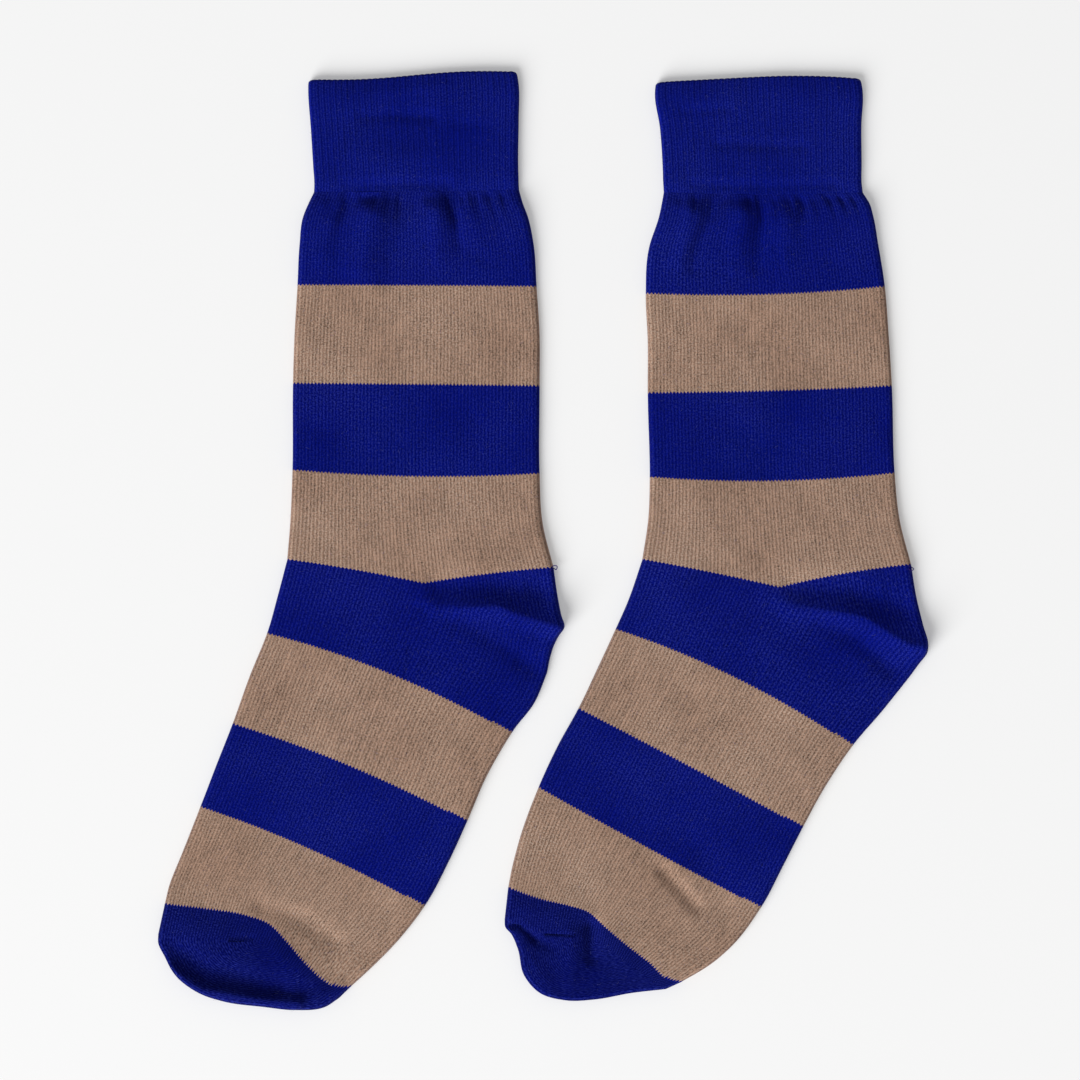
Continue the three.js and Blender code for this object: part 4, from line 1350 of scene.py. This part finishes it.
class SockSizes(bpy.types.PropertyGroup):
    """Sizes of the knitting."""

    cloth: length("Cloth", "Thickness of the knitted cloth", 0.0013)
    course: length("Course", "Height of one course of stitches", 0.00104)
    wale_rise: length("Wale rise", "How far each wale stands up", 0.00005)
    rib_rise: length("Rib rise", "How far each rib of the cuff stands up", 0.0002)
    lip: length("Lip", "Reach of the rounding at the mouth", 0.0008)
    corner: length("Mouth corner", "Radius of the corners of the mouth", 0.0014)
    thread: length("Thread", "Radius of the linking thread", 0.00018)
    thread_step: length("Thread step", "From one linking stitch to the next", 0.0011)
    fibre: length("Fibre", "Length of the loose fibres", 0.0016)
    fibre_radius: length("Fibre radius", "Radius of the loose fibres", 0.000022)
    fibre_density: amount("Fibre density", "Loose fibres on a square metre", 45000.0)


class SockColours(bpy.types.PropertyGroup):
    """Colours of the yarns."""

    blue: colour_of("Blue", "Blue yarn of the leg, heel, foot and toe", (0.0004, 0.0028, 0.124))
    rib_blue: colour_of("Rib blue", "Blue yarn of the cuff", (0.0005, 0.0034, 0.140))
    toe_blue: colour_of("Toe blue", "Blue yarn of the closely knitted toe", (0.0004, 0.0018, 0.077))
    taupe: colour_of("Taupe", "Taupe yarn of the stripes", (0.268, 0.165, 0.116))
    blue_lint: colour_of("Blue lint", "Loose fibre on the blue yarn", (0.021, 0.032, 0.26))
    taupe_lint: colour_of("Taupe lint", "Loose fibre on the taupe yarn", (0.52, 0.40, 0.32))
    dark_thread: colour_of("Dark thread", "Thread that links the toe", (0.0012, 0.003, 0.035))
    violet_thread: colour_of("Violet thread", "Thread ends at the ankle line", (0.03, 0.012, 0.17))
    pale_fibre: colour_of("Pale fibre", "Loose fibres", (0.09, 0.10, 0.30))
    stitch_contrast: amount("Stitch contrast", "How far one stitch differs from the next", 0.34)
    streak_contrast: amount("Streak contrast", "How far streaks along the wales show", 0.65)
    fibre_contrast: amount("Fibre contrast", "How far single fibres show", 2.1)
    blotch_contrast: amount("Blotch contrast", "How far soft blotches show", 0.4)
    # The crown light is a painted highlight along the top of each wale
    crown_light: amount("Crown light", "How light the top of a wale is", 0.30)
    groove_shade: amount("Groove shade", "How dark it is between the wales", 0.16)
    blue_contrast: amount("Blue contrast", "Share of the contrasts that shows on blue", 0.7)
    rib_shade: amount("Rib shade", "How dark it is between the ribs", 0.14)
    lint: amount("Lint", "How much loose fibre lies on the yarn", 0.58)


class StageSettings(bpy.types.PropertyGroup):
    """The camera and the light."""

    view_width: length("View width", "Width of the view on the floor", 0.432)
    camera_height: length("Camera height", "Height of the camera over the floor", 1.5)
    key_power: amount("Key light", "Power of the soft key light in watts", 1190.0)
    key_size: length("Key size", "Diameter of the soft key light", 7.0)
    sky: amount("Sky", "Strength of the light from all round", 0.34)
    floor_tone: amount("Floor", "How pale the floor is", 0.64)
    floor_glow: amount("Floor glow", "Light from below through the white sweep", 0.26)


# Both socks with the seeds of their small unevenness
SOCKS = ((LEFT, 11), (RIGHT, 23))


def knit_part(context, part, coat, build):
    """Knits a part of each sock, ties it to the frame and gives the finished object."""
    yarn = materials(context.scene.sock_colours)[coat]
    for sock, seed in SOCKS:
        piece = f"{sock['name']}_{part}"
        name = f"{piece}_knit"
        shapes = shapes_of(sock, seed)
        mesh = build(name, sock, body_columns(), context.scene.sock_sizes, shapes, yarn)
        yield settle(new_object(name, mesh), [piece])


class SOCKS_OT_cuffs(bpy.types.Operator):
    """Knit the two ribbed cuffs"""

    bl_idname = "socks.cuffs"
    bl_label = "Cuffs"

    def execute(self, context):
        sizes = context.scene.sock_sizes
        coat = materials(context.scene.sock_colours)["blue rib knit"]
        columns = Columns(RIBS, RIBS_ON_A_FOLD, top_step=1 / 6, under_step=0.5)
        tree = rib_tree()
        for sock, seed in SOCKS:
            name = f"{sock['name']}_cuff_knit"
            mesh = cuff_mesh(name, sock, columns, sizes, shapes_of(sock, seed), coat)
            rib = mesh.attributes.new("rib", "FLOAT", "POINT")
            rings = len(mesh.vertices) // columns.count
            rib.data.foreach_set("value", np.tile(columns.wale, rings).astype(np.float32))
            obj = run_tree(mesh, name, tree, {"Rib Rise": sizes.rib_rise, "Material": coat})
            settle(obj, [f"{sock['name']}_cuff"])
        return {"FINISHED"}


class SOCKS_OT_legs(bpy.types.Operator):
    """Knit the two striped legs"""

    bl_idname = "socks.legs"
    bl_label = "Legs"

    def execute(self, context):
        for leg in knit_part(context, "leg", "striped leg knit", leg_mesh):
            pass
        return {"FINISHED"}


class SOCKS_OT_heels(bpy.types.Operator):
    """Turn the two heels"""

    bl_idname = "socks.heels"
    bl_label = "Heels"

    def execute(self, context):
        for heel in knit_part(context, "heel", "blue knit", heel_mesh):
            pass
        return {"FINISHED"}


class SOCKS_OT_feet(bpy.types.Operator):
    """Knit the two striped feet"""

    bl_idname = "socks.feet"
    bl_label = "Feet"

    def execute(self, context):
        for foot in knit_part(context, "foot", "striped foot knit", foot_mesh):
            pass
        return {"FINISHED"}


class SOCKS_OT_toes(bpy.types.Operator):
    """Turn the two toe caps and link them shut"""

    bl_idname = "socks.toes"
    bl_label = "Toe caps"

    def execute(self, context):
        for toe in knit_part(context, "toe", "blue toe knit", toe_mesh):
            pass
        return {"FINISHED"}


class SOCKS_OT_threads(bpy.types.Operator):
    """Link the toes shut and leave the thread ends at the ankle lines"""

    bl_idname = "socks.threads"
    bl_label = "Threads"

    def execute(self, context):
        sizes = context.scene.sock_sizes
        coats = materials(context.scene.sock_colours)
        link = link_tree()
        end = thread_tree()
        for sock, _seed in SOCKS:
            side = sock["name"]
            toe = bpy.data.objects[f"{side}_toe_knit"]
            mesh = line_mesh(f"{side}_toe_link", sock["links"], toe, 0.0)
            obj = run_tree(mesh, mesh.name, link, {
                "Step": sizes.thread_step, "Radius": sizes.thread,
                "Material": coats["dark blue thread"]})
            settle(obj, None)
            heel = bpy.data.objects[f"{side}_heel_knit"]
            mesh = line_mesh(f"{side}_thread_end", [sock["thread_end"]], heel, THREAD_LIFT)
            obj = run_tree(mesh, mesh.name, end, {
                "Radius": sizes.thread, "Material": coats["violet thread"]})
            settle(obj, None)
        return {"FINISHED"}


class SOCKS_OT_lint(bpy.types.Operator):
    """Scatter loose fibres over the knit"""

    bl_idname = "socks.lint"
    bl_label = "Lint"

    def execute(self, context):
        sizes = context.scene.sock_sizes
        coat = materials(context.scene.sock_colours)["pale fibre"]
        tree = lint_tree()
        for sock, seed in SOCKS:
            side = sock["name"]
            everything = bmesh.new()
            for part in ("cuff", "leg", "heel", "foot", "toe"):
                everything.from_mesh(bpy.data.objects[f"{side}_{part}_knit"].data)
            mesh = bpy.data.meshes.new(f"{side}_lint")
            everything.to_mesh(mesh)
            everything.free()
            obj = run_tree(mesh, mesh.name, tree, {
                "Density": sizes.fibre_density, "Length": sizes.fibre, "Radius": sizes.fibre_radius,
                "Seed": seed, "Material": coat})
            settle(obj, None)
        return {"FINISHED"}


class SOCKS_OT_stage(bpy.types.Operator):
    """Set up the floor, the soft light and the camera"""

    bl_idname = "socks.stage"
    bl_label = "Stage"

    def execute(self, context):
        stage = context.scene.sock_stage
        scene = context.scene
        mesh = bpy.data.meshes.new("floor")
        reach = 2.0
        corners = [(-reach, -reach, 0.0), (reach, -reach, 0.0), (reach, reach, 0.0), (-reach, reach, 0.0)]
        mesh.from_pydata(corners, [], [(0, 1, 2, 3)])
        floor = new_object("floor", mesh)
        mesh.materials.append(floor_material(stage.floor_tone, stage.floor_glow))
        world = bpy.data.worlds.new("studio")
        world.use_nodes = True
        sky = world.node_tree.nodes["Background"]
        sky.inputs["Color"].default_value = (1.0, 1.0, 1.0, 1.0)
        sky.inputs["Strength"].default_value = stage.sky
        scene.world = world
        light = bpy.data.lights.new("key", "AREA")
        light.shape = "DISK"
        light.size = stage.key_size
        light.energy = stage.key_power
        key = bpy.data.objects.new("key", light)
        key.location = (-4.7, -6.0, 4.8)
        key.rotation_euler = (-key.location).to_track_quat("-Z", "Y").to_euler()
        scene.collection.objects.link(key)
        data = bpy.data.cameras.new("camera")
        camera = bpy.data.objects.new("camera", data)
        data.sensor_width = 36.0
        data.lens = data.sensor_width * stage.camera_height / stage.view_width
        data.clip_end = 10.0
        camera.location = (-0.0016, 0.0004, stage.camera_height)
        scene.collection.objects.link(camera)
        scene.camera = camera
        scene.view_settings.view_transform = "Standard"
        return {"FINISHED"}


def floor_material(tone, glow):
    """Pale matt sweep with a trace of mottle, lit a little from below."""
    material = bpy.data.materials.new("pale floor")
    material.use_nodes = True
    tree = material.node_tree
    shader = tree.nodes["Principled BSDF"]
    place = add_node(tree, "ShaderNodeTexCoord").outputs["Object"]
    noise = add_node(tree, "ShaderNodeTexNoise", {"Vector": place, "Scale": 6.0, "Detail": 2.0})
    tones = [(tone * 0.995,) * 3 + (1.0,), (tone,) * 3 + (1.0,)]
    mix = add_node(tree, "ShaderNodeMix", {"Factor": noise.outputs[0], 6: tones[0], 7: tones[1]},
                   data_type="RGBA")
    tree.links.new(mix.outputs[2], shader.inputs["Base Color"])
    shader.inputs["Roughness"].default_value = 0.9
    shader.inputs["Specular IOR Level"].default_value = 0.1
    shader.inputs["Emission Color"].default_value = (1.0, 1.0, 1.0, 1.0)
    shader.inputs["Emission Strength"].default_value = glow
    return material


class SOCKS_PT_panel(bpy.types.Panel):
    """Builds the pair piece by piece"""

    bl_idname = "SOCKS_PT_panel"
    bl_label = "Striped Socks"
    bl_space_type = "VIEW_3D"
    bl_region_type = "UI"
    bl_category = "Socks"

    def draw(self, context):
        for operator in OPERATORS:
            self.layout.operator(operator.bl_idname)
        for name in ("sock_sizes", "sock_colours", "sock_stage"):
            settings = getattr(context.scene, name)
            box = self.layout.box()
            for key in settings.bl_rna.properties.keys():
                if key not in ("rna_type", "name"):
                    box.prop(settings, key)


OPERATORS = (
    SOCKS_OT_stage, SOCKS_OT_cuffs, SOCKS_OT_legs, SOCKS_OT_heels, SOCKS_OT_feet, SOCKS_OT_toes,
    SOCKS_OT_threads, SOCKS_OT_lint,
)
CLASSES = (SockSizes, SockColours, StageSettings, *OPERATORS, SOCKS_PT_panel)


def register():
    for cls in CLASSES:
        bpy.utils.register_class(cls)
    bpy.types.Scene.sock_sizes = PointerProperty(type=SockSizes)
    bpy.types.Scene.sock_colours = PointerProperty(type=SockColours)
    bpy.types.Scene.sock_stage = PointerProperty(type=StageSettings)


def unregister():
    for name in ("sock_sizes", "sock_colours", "sock_stage"):
        delattr(bpy.types.Scene, name)
    for cls in reversed(CLASSES):
        bpy.utils.unregister_class(cls)


def main():
    """Builds every piece and the stage."""
    register()
    for operator in OPERATORS:
        getattr(bpy.ops.socks, operator.bl_idname.split(".")[1])()


if __name__ == "__main__":
    main()
